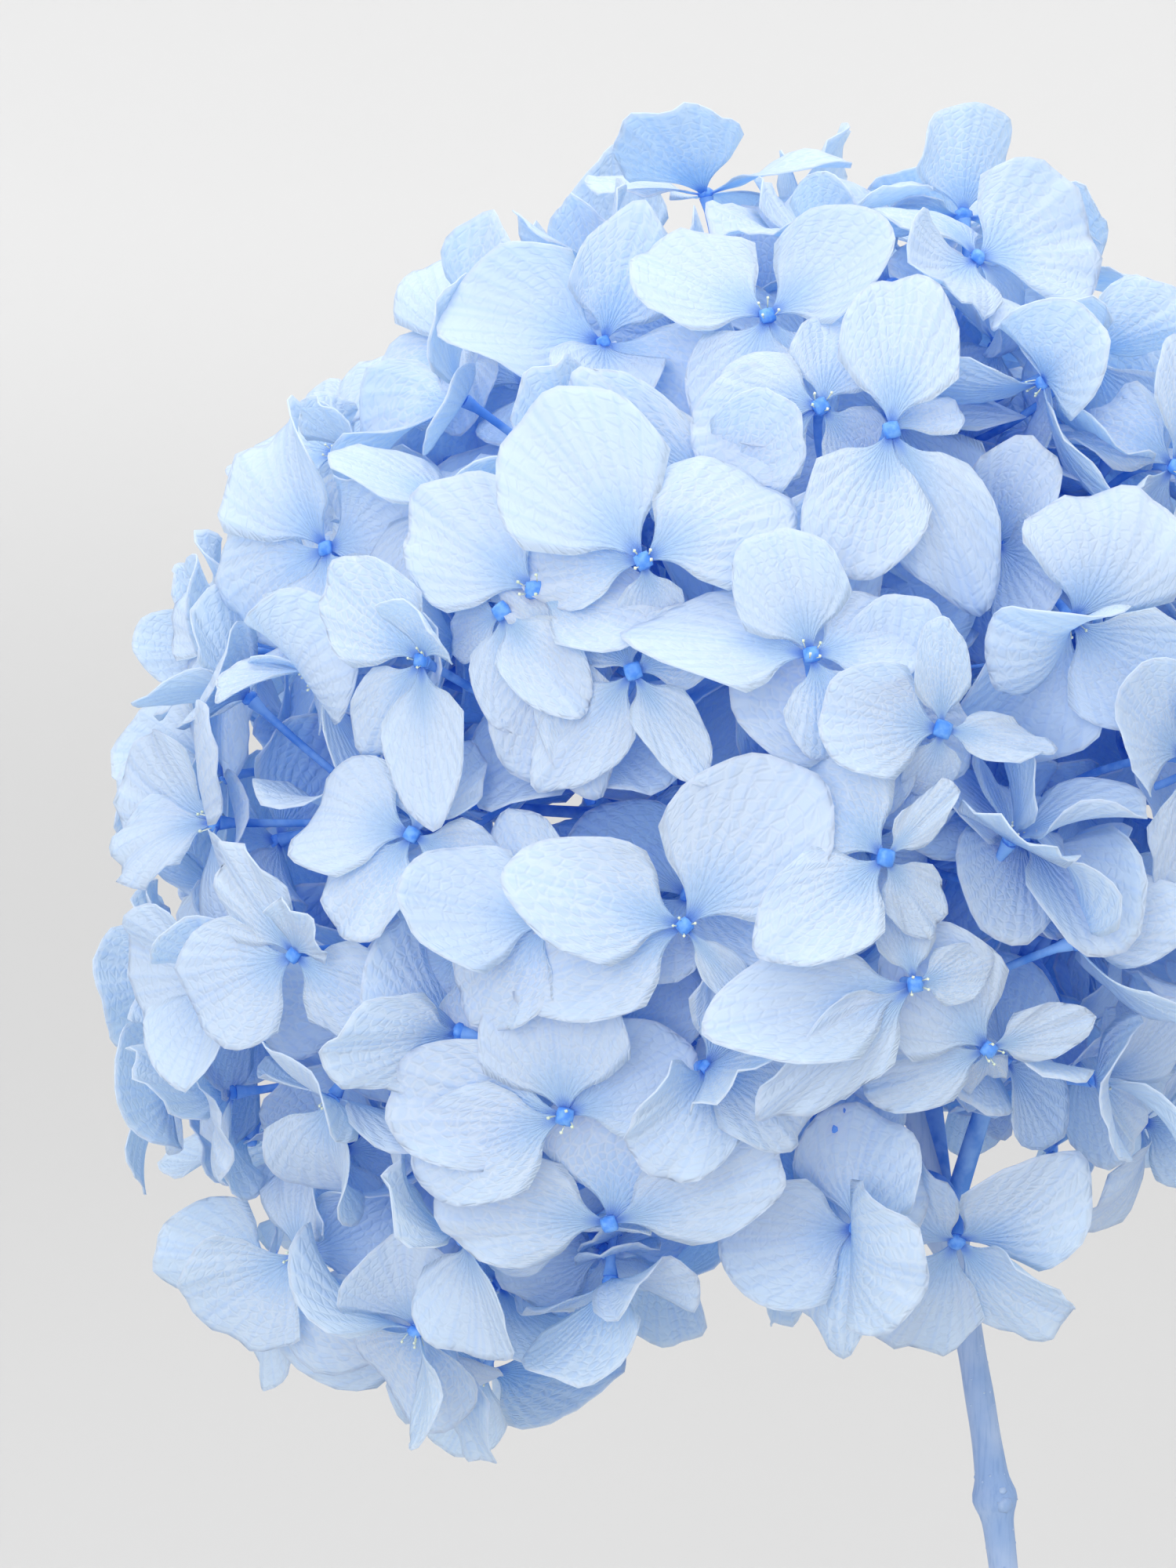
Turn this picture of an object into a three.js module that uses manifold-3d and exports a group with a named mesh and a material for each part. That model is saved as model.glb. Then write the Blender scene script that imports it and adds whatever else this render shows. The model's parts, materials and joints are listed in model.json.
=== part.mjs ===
// Preserved mophead hydrangea on its cut stem: one woody stem, eight flower branches that fan out
// from two swollen joints, and fifty sterile florets with four sepals each that cover the head.
// Millimetres, +Z up. The origin is the centre of the stem's flat cut end. The head's front is -Y.
import * as THREE from 'three';
import { mergeVertices } from 'three/addons/utils/BufferGeometryUtils.js';
import Module from 'manifold-3d';

const GAP = 0.3; // clearance between pieces that meet

// Main stem: it stands upright at the cut end and leans over as it climbs to the head.
const STEM_RADIUS = 2.3;
const STEM_TOP_RADIUS = 1.6; // between the two joints
const STEM_KNEE = new THREE.Vector3(0, 0, 85);
const STEM_SHOULDER = new THREE.Vector3(-4, 2, 160);
const LOWER_JOINT = new THREE.Vector3(-17, 5, 215);
const UPPER_JOINT = new THREE.Vector3(-24, 3, 239);
const JOINT_RADIUS = 4.9;
const SCAR_RADIUS = 3.7; // swelling where a pair of leaves once grew
const SCAR_LENGTH = 11;
const SCAR_PLACES = [0.33, 0.76]; // along the stem's curve, 0 at the cut end

// Head: an egg-shaped cloud of florets whose long axis leans towards +X.
const HEAD_CENTRE = new THREE.Vector3(-52, -4, 283);
const HEAD_HALF_AXES = new THREE.Vector3(83, 88, 100);
const HEAD_LEAN = THREE.MathUtils.degToRad(33);
const BARE_SIDE = new THREE.Vector3(0.25, -0.15, -0.95).normalize(); // the open underside
const BARE_ANGLE = THREE.MathUtils.degToRad(39); // only front florets grow within this angle of it

// Florets.
const FLORET_COUNT = 50;
const FLORET_SPACING = 31; // the closest that two florets start out, before they are spread evenly
const PUSH = 360000; // strength of the spreading, in mm to the fifth
const FLORET_STRAY = 0.25; // how far a floret may face away from the head's normal
const SEPAL_LENGTH = 19.5;
const SEPAL_HALF_WIDTH = 8.8;
const SEPAL_START = 0.7; // distance from the floret's axis to the claw
const SEPAL_THICKNESS = 0.6;
const SEPAL_CUP = 1.6; // how far the side edges rise above the midrib, and fall short of the tip
const SEPAL_DROOP = 3.2; // the tip falls this much below the floret's centre
const DISC_RADIUS = 1.5;
const DISC_HEIGHT = 1.8;
const PEDICEL_RADIUS = 0.6;
const PEDICEL_BEND = 13; // length of each of the pedicel's two straight runs
const PEDICEL_LEAN = 0.55; // 0 follows the floret's axis, 1 points straight at the stem

// Branches.
const BRANCH_RADIUS = 1.45;
const TWIG_RADIUS = 0.9;
const HUB_RADIUS = 2.3;
const HUB_REACH = 0.56; // how far along from the joint to its florets a branch divides
const BRANCH_RISE = 0.08; // branches leave the stem steeply and bow outwards

// The florets that stand out on the head's front, in degrees. The first two numbers are the place on
// the head, round from the front (+X side positive) and up. The next two are the way the floret
// faces, and the last is the turn of its first sepal from +X.
const FRONT_FLORETS = [
  [-4, -4, -2, 8, 63], [16, 36, 14, 22, 78], [-28, 17, -22, 15, 35], [17, 11, 14, 10, 88],
  [-39, -8, -25, 0, 20], [24, -16, 20, -8, 40], [42, 9, 35, 5, 60], [-13, -35, -10, -26, 75],
  [-56, 30, -45, 28, 30], [-20, 53, -15, 45, 70], [40, 58, 30, 45, 20], [50, 34, 45, 26, 50],
  [-44, -46, -38, -30, 10], [-66, -24, -60, -15, 65], [27, -42, 18, -22, 55],
];

// The eight branches: the joint each one leaves, and the side of the head that it feeds.
const BRANCHES = [
  { name: 'branch_front', joint: LOWER_JOINT, facing: [-5, -10] },
  { name: 'branch_left', joint: LOWER_JOINT, facing: [-62, -22] },
  { name: 'branch_back_low', joint: LOWER_JOINT, facing: [-150, -25] },
  { name: 'branch_right', joint: LOWER_JOINT, facing: [62, 12] },
  { name: 'branch_back_right', joint: LOWER_JOINT, facing: [150, 15] },
  { name: 'branch_front_high', joint: UPPER_JOINT, facing: [-35, 38] },
  { name: 'branch_back_high', joint: UPPER_JOINT, facing: [-140, 35] },
  { name: 'branch_top', joint: UPPER_JOINT, facing: [50, 68] },
];

const SEPAL_BLUE = 0xcdddf8;
const STEM_BLUE = 0x8fa9cf;
const sepalMaterial = new THREE.MeshStandardMaterial({ color: SEPAL_BLUE, roughness: 0.7, metalness: 0 });
const stemMaterial = new THREE.MeshStandardMaterial({ color: STEM_BLUE, roughness: 0.65, metalness: 0 });

const wasm = await Module();
wasm.setup();

// A repeatable value between -1 and 1 for each whole number.
function jitter(n) {
  return 2 * ((n * 0.61803399) % 1) - 1;
}

// A closed geometry as a solid that can be joined.
function toSolid(geometry) {
  const bare = geometry.clone();
  bare.deleteAttribute('normal');
  bare.deleteAttribute('uv');
  const merged = mergeVertices(bare, 1e-4);
  const vertProperties = Float32Array.from(merged.attributes.position.array);
  const triVerts = Uint32Array.from(merged.index.array);
  return new wasm.Manifold(new wasm.Mesh({ numProp: 3, vertProperties, triVerts }));
}

// Several overlapping closed geometries as one.
function join(geometries) {
  const whole = geometries.map(toSolid).reduce((sum, solid) => sum.add(solid));
  const mesh = whole.getMesh();
  const joined = new THREE.BufferGeometry();
  joined.setAttribute('position', new THREE.BufferAttribute(mesh.vertProperties, 3));
  joined.setIndex(new THREE.BufferAttribute(mesh.triVerts, 1));
  joined.computeVertexNormals();
  return joined;
}

// A round stalk along a curve.
function stalk(curve, radius, sides, steps) {
  const corners = Array.from({ length: sides }, (_, i) => {
    const turn = (2 * Math.PI * i) / sides;
    return new THREE.Vector2(radius * Math.cos(turn), radius * Math.sin(turn));
  });
  return new THREE.ExtrudeGeometry(new THREE.Shape(corners), {
    extrudePath: curve, steps, bevelEnabled: false,
  });
}

function ball(centre, radius, around, up) {
  return new THREE.SphereGeometry(radius, around, up).translate(centre.x, centre.y, centre.z);
}

// Unit vector from degrees round from the front and degrees up.
function facing([round, up]) {
  const a = THREE.MathUtils.degToRad(round);
  const b = THREE.MathUtils.degToRad(up);
  return new THREE.Vector3(Math.sin(a) * Math.cos(b), -Math.cos(a) * Math.cos(b), Math.sin(b));
}

// The head's surface: the point that lies in a direction from the centre, and the normal there.
const lean = new THREE.Quaternion().setFromAxisAngle(new THREE.Vector3(0, 1, 0), HEAD_LEAN);
const unlean = lean.clone().invert();

function surfacePoint(direction) {
  const local = direction.clone().applyQuaternion(unlean);
  const reach = 1 / local.clone().divide(HEAD_HALF_AXES).length();
  return direction.clone().multiplyScalar(reach).add(HEAD_CENTRE);
}

function surfaceNormal(point) {
  const local = point.clone().sub(HEAD_CENTRE).applyQuaternion(unlean);
  return local.divide(HEAD_HALF_AXES).divide(HEAD_HALF_AXES).applyQuaternion(lean).normalize();
}

// Floret places: the front ones, then an even scatter that fills the rest of the head.
function scatter(i) {
  const up = THREE.MathUtils.radToDeg(Math.asin(1 - 2 * ((0.5 + i * 0.7548777) % 1)));
  return facing([360 * ((0.5 + i * 0.5698403) % 1), up]);
}

function isFree(direction, taken) {
  if (direction.angleTo(BARE_SIDE) < BARE_ANGLE) return false;
  const point = surfacePoint(direction);
  return taken.every((other) => surfacePoint(other).distanceTo(point) > FLORET_SPACING);
}

// Pushes the florets after the first few apart until they are evenly spread.
function spread(directions, fixedCount) {
    for (let round = 0; round < 160; round += 1) {
    const points = directions.map(surfacePoint);
    for (let i = fixedCount; i < directions.length; i += 1) {
      const push = new THREE.Vector3();
      points.forEach((other, j) => {
        const away = points[i].clone().sub(other);
        if (i !== j) push.add(away.multiplyScalar(away.length() ** -5));
      });
      const moved = points[i].clone().addScaledVector(push, PUSH).sub(HEAD_CENTRE).normalize();
      if (moved.angleTo(BARE_SIDE) > BARE_ANGLE) directions[i] = moved;
    }
  }
  return directions;
}

function floretDirections() {
  const directions = FRONT_FLORETS.map(([round, up]) => facing([round, up]));
  for (let i = 1; directions.length < FLORET_COUNT; i += 1) {
    const candidate = scatter(i);
    if (isFree(candidate, directions)) directions.push(candidate);
  }
  return spread(directions, FRONT_FLORETS.length);
}

// The way a floret faces: as listed, or along the head's normal with a small lean of its own.
function floretFacing(index, centre) {
  if (index < FRONT_FLORETS.length) return facing(FRONT_FLORETS[index].slice(2, 4));
  const stray = new THREE.Vector3(jitter(index * 5), jitter(index * 5 + 2), jitter(index * 5 + 4));
  return surfaceNormal(centre).addScaledVector(stray, FLORET_STRAY).normalize();
}

function floretTurn(index) {
  if (index < FRONT_FLORETS.length) return THREE.MathUtils.degToRad(FRONT_FLORETS[index][4] - 90);
  return (Math.PI / 4) * jitter(index * 3 + 1);
}

// A floret's place: its centre, its rotation, and where its pedicel bends and ends.
function floretPlace(direction, index) {
  const centre = surfacePoint(direction);
  const axis = floretFacing(index, centre);
  const right = new THREE.Vector3(0, 0, 1).cross(axis).normalize();
  const basis = new THREE.Matrix4().makeBasis(right, axis.clone().cross(right), axis);
  const rotation = new THREE.Quaternion().setFromRotationMatrix(basis);
  rotation.multiply(new THREE.Quaternion().setFromAxisAngle(
    new THREE.Vector3(0, 0, 1), floretTurn(index)));
  const toStem = UPPER_JOINT.clone().sub(centre).normalize();
  const inward = axis.clone().negate().lerp(toStem, PEDICEL_LEAN).normalize();
  const bend = centre.clone().addScaledVector(axis, -PEDICEL_BEND);
  const foot = bend.clone().addScaledVector(inward, PEDICEL_BEND);
  return { centre, rotation, inward, bend, foot };
}

// One sepal: a thin plate, narrow at its claw and broad towards the tip, cupped across and drooping.
function sepal(index, seat) {
  const plate = new THREE.BoxGeometry(2, 1, SEPAL_THICKNESS, 2, 2, 1);
  const position = plate.attributes.position;
  const length = SEPAL_LENGTH * (1 + 0.05 * jitter(index * 7 + seat * 5));
  const twist = 0.12 * jitter(index * 11 + seat * 3);
  for (let i = 0; i < position.count; i += 1) {
    const along = (position.getY(i) + 0.5) ** 0.8;
    const side = position.getX(i);
    const x = side * SEPAL_HALF_WIDTH * (0.07 + 0.93 * Math.sin(2.6 * along));
    const z = SEPAL_CUP * side * side * along - SEPAL_DROOP * along * along + x * twist;
    const y = SEPAL_START + along * (length - SEPAL_CUP * side * side);
    position.setXYZ(i, x, y, position.getZ(i) + z);
  }
  return plate.rotateZ((Math.PI / 2) * seat);
}

function floret(place, index) {
  const toLocal = (point) => point.clone().sub(place.centre).applyQuaternion(
    place.rotation.clone().invert());
  const path = new THREE.QuadraticBezierCurve3(
    toLocal(place.foot), toLocal(place.bend), new THREE.Vector3(0, 0, -0.2));
  const disc = new THREE.CylinderGeometry(DISC_RADIUS, 0.65 * DISC_RADIUS, DISC_HEIGHT, 6)
    .rotateX(Math.PI / 2);
  const sepals = [0, 1, 2, 3].map((seat) => sepal(index, seat));
  const geometry = join([disc, stalk(path, PEDICEL_RADIUS, 4, 3), ...sepals]);
  const mesh = new THREE.Mesh(geometry, sepalMaterial);
  mesh.name = `floret_${String(index + 1).padStart(2, '0')}`;
  mesh.position.copy(place.centre);
  mesh.quaternion.copy(place.rotation);
  return mesh;
}

// The stem with its leaf scars and its two swollen joints.
function mainStem() {
  const lower = new THREE.CubicBezierCurve3(
    new THREE.Vector3(), STEM_KNEE, STEM_SHOULDER, LOWER_JOINT);
  const upper = new THREE.LineCurve3(LOWER_JOINT, UPPER_JOINT);
  const scarProfile = [[0, -0.5], [0.66, -0.45], [1, 0], [0.66, 0.45], [0, 0.5]]
    .map(([r, z]) => new THREE.Vector2(r * SCAR_RADIUS, z * SCAR_LENGTH));
  const scars = SCAR_PLACES.map((place) => {
    const centre = lower.getPointAt(place);
    const turn = new THREE.Quaternion().setFromUnitVectors(
      new THREE.Vector3(0, 1, 0), lower.getTangentAt(place));
    return new THREE.LatheGeometry(scarProfile, 8).applyQuaternion(turn)
      .translate(centre.x, centre.y, centre.z);
  });
  const joints = [LOWER_JOINT, UPPER_JOINT].map((joint) => ball(joint, JOINT_RADIUS, 8, 5));
  const mesh = new THREE.Mesh(join([
    stalk(lower, STEM_RADIUS, 8, 10), stalk(upper, STEM_TOP_RADIUS, 8, 1), ...scars, ...joints,
  ]), stemMaterial);
  mesh.name = 'main_stem';
  return mesh;
}

// A branch: it rises from its joint, divides at its hub and sends a twig to each of its florets.
function branch({ name, joint }, places) {
  const middle = places.reduce((sum, place) => sum.add(place.foot), new THREE.Vector3())
    .divideScalar(places.length);
  const hub = joint.clone().lerp(middle, HUB_REACH);
  const run = hub.distanceTo(joint);
  const rise = hub.clone().sub(joint).addScaledVector(new THREE.Vector3(0, 0, 1), BRANCH_RISE * run)
    .normalize();
  const start = joint.clone().addScaledVector(rise, JOINT_RADIUS + GAP);
  const shoulder = joint.clone().addScaledVector(rise, 0.5 * run);
  const limb = stalk(new THREE.QuadraticBezierCurve3(start, shoulder, hub), BRANCH_RADIUS, 6, 3);
  const twigs = places.map(({ foot, inward }) => {
    const end = foot.clone().addScaledVector(inward, GAP);
    const elbow = end.clone().addScaledVector(inward, 0.35 * end.distanceTo(hub));
    return stalk(new THREE.QuadraticBezierCurve3(hub, elbow, end), TWIG_RADIUS, 4, 2);
  });
  const mesh = new THREE.Mesh(join([limb, ball(hub, HUB_RADIUS, 6, 4), ...twigs]), stemMaterial);
  mesh.name = name;
  return mesh;
}

// The branch whose side of the head lies nearest to a floret.
function nearestBranch(direction) {
  const nearness = BRANCHES.map(({ facing: side }) => facing(side).dot(direction));
  return nearness.indexOf(Math.max(...nearness));
}

const directions = floretDirections();
const places = directions.map(floretPlace);
const hydrangea = new THREE.Group();
hydrangea.add(mainStem());
BRANCHES.forEach((each, b) => {
  hydrangea.add(branch(each, places.filter((_, i) => nearestBranch(directions[i]) === b)));
});
places.forEach((place, i) => hydrangea.add(floret(place, i)));

export default hydrangea;
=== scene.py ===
# %% [markdown]
# # A preserved blue hydrangea on its cut stem
# A mophead hydrangea is a cloud of sterile florets. Each floret has four broad sepals round a tiny
# bud, and stands on a thin stalk. The stalks gather into branches, and the branches leave the woody
# stem at two swollen joints. Everything here is built in metres around the packed model, which
# holds fifty florets, eight branches and the stem. The frame gives their places, and this script
# grows the real surfaces on them and fills the spaces between with more florets.

# %% Load the frame
import json
import math
import random

import bpy
import numpy as np
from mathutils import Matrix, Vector
from mathutils.bvhtree import BVHTree

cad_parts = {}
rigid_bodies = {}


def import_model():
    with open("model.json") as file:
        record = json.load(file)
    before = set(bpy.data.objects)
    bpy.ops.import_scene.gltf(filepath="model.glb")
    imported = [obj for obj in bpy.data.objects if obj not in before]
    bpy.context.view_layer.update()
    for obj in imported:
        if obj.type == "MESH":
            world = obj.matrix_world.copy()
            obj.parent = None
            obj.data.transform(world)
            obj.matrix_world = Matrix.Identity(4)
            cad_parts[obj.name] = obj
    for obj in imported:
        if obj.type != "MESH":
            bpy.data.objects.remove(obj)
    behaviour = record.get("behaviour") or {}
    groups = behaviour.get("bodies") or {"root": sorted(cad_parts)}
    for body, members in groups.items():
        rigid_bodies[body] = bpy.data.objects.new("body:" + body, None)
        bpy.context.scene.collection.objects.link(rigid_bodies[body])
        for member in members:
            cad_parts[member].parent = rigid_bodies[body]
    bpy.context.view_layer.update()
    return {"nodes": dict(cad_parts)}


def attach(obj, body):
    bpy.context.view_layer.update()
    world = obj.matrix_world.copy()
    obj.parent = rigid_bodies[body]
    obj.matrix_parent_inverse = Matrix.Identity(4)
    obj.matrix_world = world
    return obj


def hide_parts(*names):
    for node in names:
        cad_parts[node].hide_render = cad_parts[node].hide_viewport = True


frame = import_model()
MM = 0.001

# %% [markdown]
# ## Where the florets are
# A node's mesh holds its place. A floret's sepals lie roughly in a plane, so the direction in which
# its faces spread least is the way it faces. The four sepals repeat every quarter turn, so the
# fourth harmonic of the faces' angles gives the turn of the first one. The stalk's foot is the end
# that lies farthest behind the floret.

# %% Read each floret's place from its node
def unit(v):
    return v / np.linalg.norm(v)


def across(axis):
    """Two unit vectors that make a right-handed frame with an axis."""
    helper = np.array([0, 0, 1.0]) if abs(axis[2]) < 0.9 else np.array([0, 1.0, 0])
    x = unit(np.cross(helper, axis))
    return x, np.cross(axis, x)


FOOT_LENGTH = 1.2
CENTRE_LIFT = 1.2


def read_floret(name):
    mesh = frame["nodes"][name].data
    points = np.array([v.co for v in mesh.vertices]) / MM
    centres = np.array([f.center for f in mesh.polygons]) / MM
    areas = np.array([f.area for f in mesh.polygons])
    middle = np.average(centres, axis=0, weights=areas)
    spread = np.cov((centres - middle).T, aweights=areas)
    axis = np.linalg.eigh(spread)[1][:, 0]
    depth = (points - middle) @ axis
    if depth.max() > -depth.min():
        axis, depth = -axis, -depth
    foot = points[depth < depth.min() + FOOT_LENGTH].mean(axis=0)
    x, y = across(axis)
    flat = (centres - middle) @ x + 1j * ((centres - middle) @ y)
    spin = np.angle(np.sum(areas * flat**4)) / 4
    centre = middle + CENTRE_LIFT * axis
    return {"name": name, "centre": centre, "axis": axis, "spin": spin, "foot": foot}


floret_nodes = sorted(n for n in frame["nodes"] if n.startswith("floret_"))
packed = [read_floret(n) for n in floret_nodes]
print("florets read:", len(packed), "first centre", np.round(packed[0]["centre"]))

# %% [markdown]
# ## One sepal
# A real sepal is a thin sheet: a narrow claw that fans out into a nearly round blade about 20 mm
# long. It could be a textured card, but then it would have no edge and no fold. Here the blade is a
# fan of rows and columns that start at the claw, like its own veins, and the flat sheet is bent as
# paper bends: along the midrib, across it, and with a ruffle that grows towards the margin.

# %% Shape of a sepal
CLAW = 0.8
FAN_ANGLE = math.radians(57)


def smooth(t):
    t = np.clip(t, 0, 1)
    return t * t * (3 - 2 * t)


# How far a sepal lifts from its floret's plane, in degrees. Most lie near it and some stand up.
LIFTS = (-26, -8, 0, 6, 12, 20, 34, 52)


def new_sepal(rng, size=1.0, closed=0.0):
    """The measures of one sepal, in millimetres and radians, as nature would vary them."""
    return {
        "length": size * rng.uniform(16.5, 23.5),
        "breadth": rng.uniform(0.66, 0.98),
        "round": rng.uniform(0.62, 0.95),
        "pitch": closed + math.radians(rng.choice(LIFTS) + rng.gauss(0, 9)),
        "bend": math.radians(rng.gauss(-24, 34)) - 0.5 * closed,
        "cup": (math.radians(rng.gauss(14, 34)), math.radians(rng.gauss(14, 34))),
        "fold": rng.choice([0, 0, 0.08, 0.3]),
        "twist": math.radians(rng.gauss(0, 20)),
        "tip": rng.choice([0, 0, 0.04, 0.09, -0.04]),
        "ruffle": rng.uniform(0.15, 0.9),
        "waves": rng.uniform(2.0, 4.2),
        "phase": rng.uniform(0, 6.28),
        "tint": rng.random(),
    }


def sepal_sheet(s, rows, cols):
    """Points of the middle of a sepal's sheet, with its claw at the origin and its tip along +Y."""
    fan = np.linspace(-1, 1, cols + 1)[None, :] * np.ones((rows + 1, 1))
    reach = (np.linspace(0, 1, rows + 1)[:, None] ** 0.85) * np.ones((1, cols + 1))
    rim = s["length"] * np.cos(FAN_ANGLE * fan) ** s["round"]
    rim = rim * (1 + 0.025 * np.sin(5 * fan + s["phase"]) + 0.012 * np.sin(13 * fan + 2 * s["phase"]))
    rim = rim * (1 + s["tip"] * np.exp(-(fan / 0.16) ** 2))
    angle = FAN_ANGLE * fan * (0.58 + 0.42 * smooth(reach * rim / (0.42 * s["length"])))
    radius = CLAW + reach * rim
    x = s["breadth"] * radius * np.sin(angle)
    y = radius * np.cos(angle)
    t = y / s["length"]
    bend = s["bend"] if abs(s["bend"]) > 0.02 else 0.02
    lean = s["pitch"] + bend * t
    mid_y = s["length"] * (np.sin(lean) - math.sin(s["pitch"])) / bend
    mid_z = s["length"] * (math.cos(s["pitch"]) - np.cos(lean)) / bend
    cup = np.where(x < 0, s["cup"][0], s["cup"][1]) * smooth(t * 1.6) / 10
    cup = np.where(np.abs(cup) < 0.002, 0.002, cup)
    side = np.sign(x) * np.sin(cup * np.abs(x)) / cup
    rise = (1 - np.cos(cup * np.abs(x))) / cup
    rise = rise + s["fold"] * (np.sqrt(x * x + 0.6) - 0.77)
    rise = rise + s["ruffle"] * reach**3 * np.sin(s["waves"] * math.pi * fan + s["phase"])
    rise = rise + 0.3 * s["ruffle"] * reach**2 * np.sin(2.7 * s["waves"] * math.pi * fan - s["phase"])
    turn = s["twist"] * t
    side, rise = side * np.cos(turn) - rise * np.sin(turn), side * np.sin(turn) + rise * np.cos(turn)
    points = np.stack([side, mid_y - rise * np.sin(lean), mid_z + rise * np.cos(lean)], axis=-1)
    return points, fan, reach


usual_tip = sepal_sheet(new_sepal(random.Random(1)), 14, 18)[0][-1, 9]
print("a usual sepal's tip, in mm from its floret's centre:", np.round(usual_tip, 1))

# %% [markdown]
# ### A body with a thickness
# A sheet becomes a closed body by giving it a front, a back and a rim. The front and back are the
# sheet moved by half its thickness along its own normals. Solidify would do the same one object at a
# time, and here there are more than a thousand sheets, so it is done in numbers.

# %% Close a sheet into a thin body
SEPAL_THICKNESS = 0.22


def sheet_normals(p):
    d_row = np.gradient(p, axis=0)
    d_col = np.gradient(p, axis=1)
    n = np.cross(d_col, d_row)
    return n / np.maximum(np.linalg.norm(n, axis=-1, keepdims=True), 1e-9)


def thin_body(points, thickness):
    """Vertices and outward quads of a sheet with a thickness."""
    rows, cols = points.shape[0], points.shape[1]
    n = sheet_normals(points) * thickness / 2
    front, back = (points + n).reshape(-1, 3), (points - n).reshape(-1, 3)
    index = np.arange(rows * cols).reshape(rows, cols)
    a, b, c, d = index[:-1, :-1], index[:-1, 1:], index[1:, 1:], index[1:, :-1]
    faces = np.stack([a, b, c, d], axis=-1).reshape(-1, 4)
    behind = faces[:, ::-1] + rows * cols
    loop = np.concatenate([index[0, :-1], index[:-1, -1], index[-1, :0:-1], index[:0:-1, 0]])
    after = np.roll(loop, -1)
    rim = np.stack([after, loop, loop + rows * cols, after + rows * cols], axis=-1)
    return np.concatenate([front, back]), np.concatenate([faces, behind, rim])


usual_body = thin_body(sepal_sheet(new_sepal(random.Random(1)), 14, 18)[0], SEPAL_THICKNESS)
print("one sepal's body:", len(usual_body[0]), "points", len(usual_body[1]), "faces")

# %% [markdown]
# ## Gathering bodies into pieces
# Each visible piece is one mesh made of many small closed bodies. A basket collects their points,
# faces and material slots, and four values for each point that the sepal's finish reads: where the
# point lies across the fan, how far it is from the claw, the sepal's own tint, and how deep the
# point lies inside the head, which masks a painted shade.

# %% A basket of bodies
class Basket:
    def __init__(self):
        self.points, self.faces, self.values, self.count = [], [], [], 0

    def add(self, points, faces, values):
        self.points.append(points)
        self.faces.append(np.asarray(faces) + self.count)
        self.values.append(values)
        self.count += len(points)

    def piece(self, name, material):
        mesh = bpy.data.meshes.new(name)
        faces = np.concatenate(self.faces).tolist()
        mesh.from_pydata((np.concatenate(self.points) * MM).tolist(), [], faces)
        mesh.materials.append(material)
        mesh.polygons.foreach_set("use_smooth", np.ones(len(faces), dtype=bool))
        values = np.concatenate(self.values)
        # The depth value masks the painted shade that the sepal finish lays deep in the head.
        for i, label in enumerate(("fan", "reach", "tint", "depth")):
            mesh.attributes.new(label, "FLOAT", "POINT").data.foreach_set("value", values[:, i].copy())
        mesh.update()
        made = bpy.data.objects.new(name, mesh)
        bpy.context.scene.collection.objects.link(made)
        return made


print("a basket holds", [name for name in vars(Basket()) if name != "count"])

# %% [markdown]
# ## Smooth lines
# Stalks and branches are never straight. Each one is the smooth line that a few control points pull
# into shape, which needs no curve object: going the same share of the way between neighbouring
# points, again and again until one is left, gives a place on a Bezier curve.

# %% Smooth lines
def bezier(points, steps):
    """A smooth line that starts and ends on a control polygon's ends, pulled by its other points."""
    t = np.linspace(0, 1, steps + 1)[:, None]
    p = [np.asarray(q, dtype=float) for q in points]
    while len(p) > 1:
        p = [a * (1 - t) + b * t for a, b in zip(p[:-1], p[1:])]
    return p[0]


print("middle of a bent line:", bezier([(0, 0, 0), (0, 0, 10), (10, 0, 10)], 2)[1])

# %% [markdown]
# ## Finishes
# One small function adds a node with its settings and links, and one turns the sRGB colours that a
# paint card gives into the linear ones that the shaders need.

# %% Helpers for materials
def linear(hex_colour):
    channels = [int(hex_colour[i:i + 2], 16) / 255 for i in (1, 3, 5)]
    return [c / 12.92 if c <= 0.04045 else ((c + 0.055) / 1.055) ** 2.4 for c in channels] + [1.0]


def node(tree, kind, settings=None, **inputs):
    """Adds a node. Settings are its properties. Inputs are values or sockets, by name or as i0, i1."""
    made = tree.nodes.new(kind)
    for key, value in (settings or {}).items():
        setattr(made, key, value)
    for key, value in inputs.items():
        by_number = key[0] == "i" and key[1:].isdigit()
        socket = made.inputs[int(key[1:]) if by_number else key.replace("_", " ")]
        if isinstance(value, bpy.types.NodeSocket):
            tree.links.new(value, socket)
        else:
            socket.default_value = value
    return made


def new_material(name):
    material = bpy.data.materials.new(name)
    material.use_nodes = True
    material.node_tree.nodes.clear()
    return material, material.node_tree


# Settings that several nodes share: a soft step between two values, a blend of two colours, a
# colour seen through another, and products of numbers and of vectors.
SOFT_STEP = {"interpolation_type": "SMOOTHSTEP"}
BLEND = {"data_type": "RGBA", "blend_type": "MIX"}
FILTER = {"data_type": "RGBA", "blend_type": "MULTIPLY"}
TIMES = {"operation": "MULTIPLY"}
print("a mid dye in linear values:", [round(c, 3) for c in linear("#a8d8ff")])

# %% [markdown]
# ### Dyed sepal tissue, with a painted shade in the head's depths
# Preserved sepals are soft and matt, like thin paper with glycerine in it: IOR about 1.4 and
# roughness about 0.6. Light passes through them, so half of the shading is translucent, in a deeper
# blue than the surface, and the head glows blue in its depths. That blue is also painted: sepals
# deep inside the head are painted a deeper cyan blue, as painted shade. The dye gathers near the
# claw, where its deepest blue is partly painted shade in the gap at each floret's middle, and in
# small cells between a pale net of veins about 1 mm apart, and the margin is a thin pale line. The
# patterns follow the blade, so they read the values that the basket keeps for each point.

# %% Sepal finish
# The fan runs from -1 to 1 over about 18 mm, so its cells are 1 mm wide, and a little longer.
CELLS_ACROSS = 9.0
CELLS_ALONG = 15.0
RIB_SCALE = 1.9
RIB_STRETCH = 0.12
SEPAL_BUMP = 0.16 * MM


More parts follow.
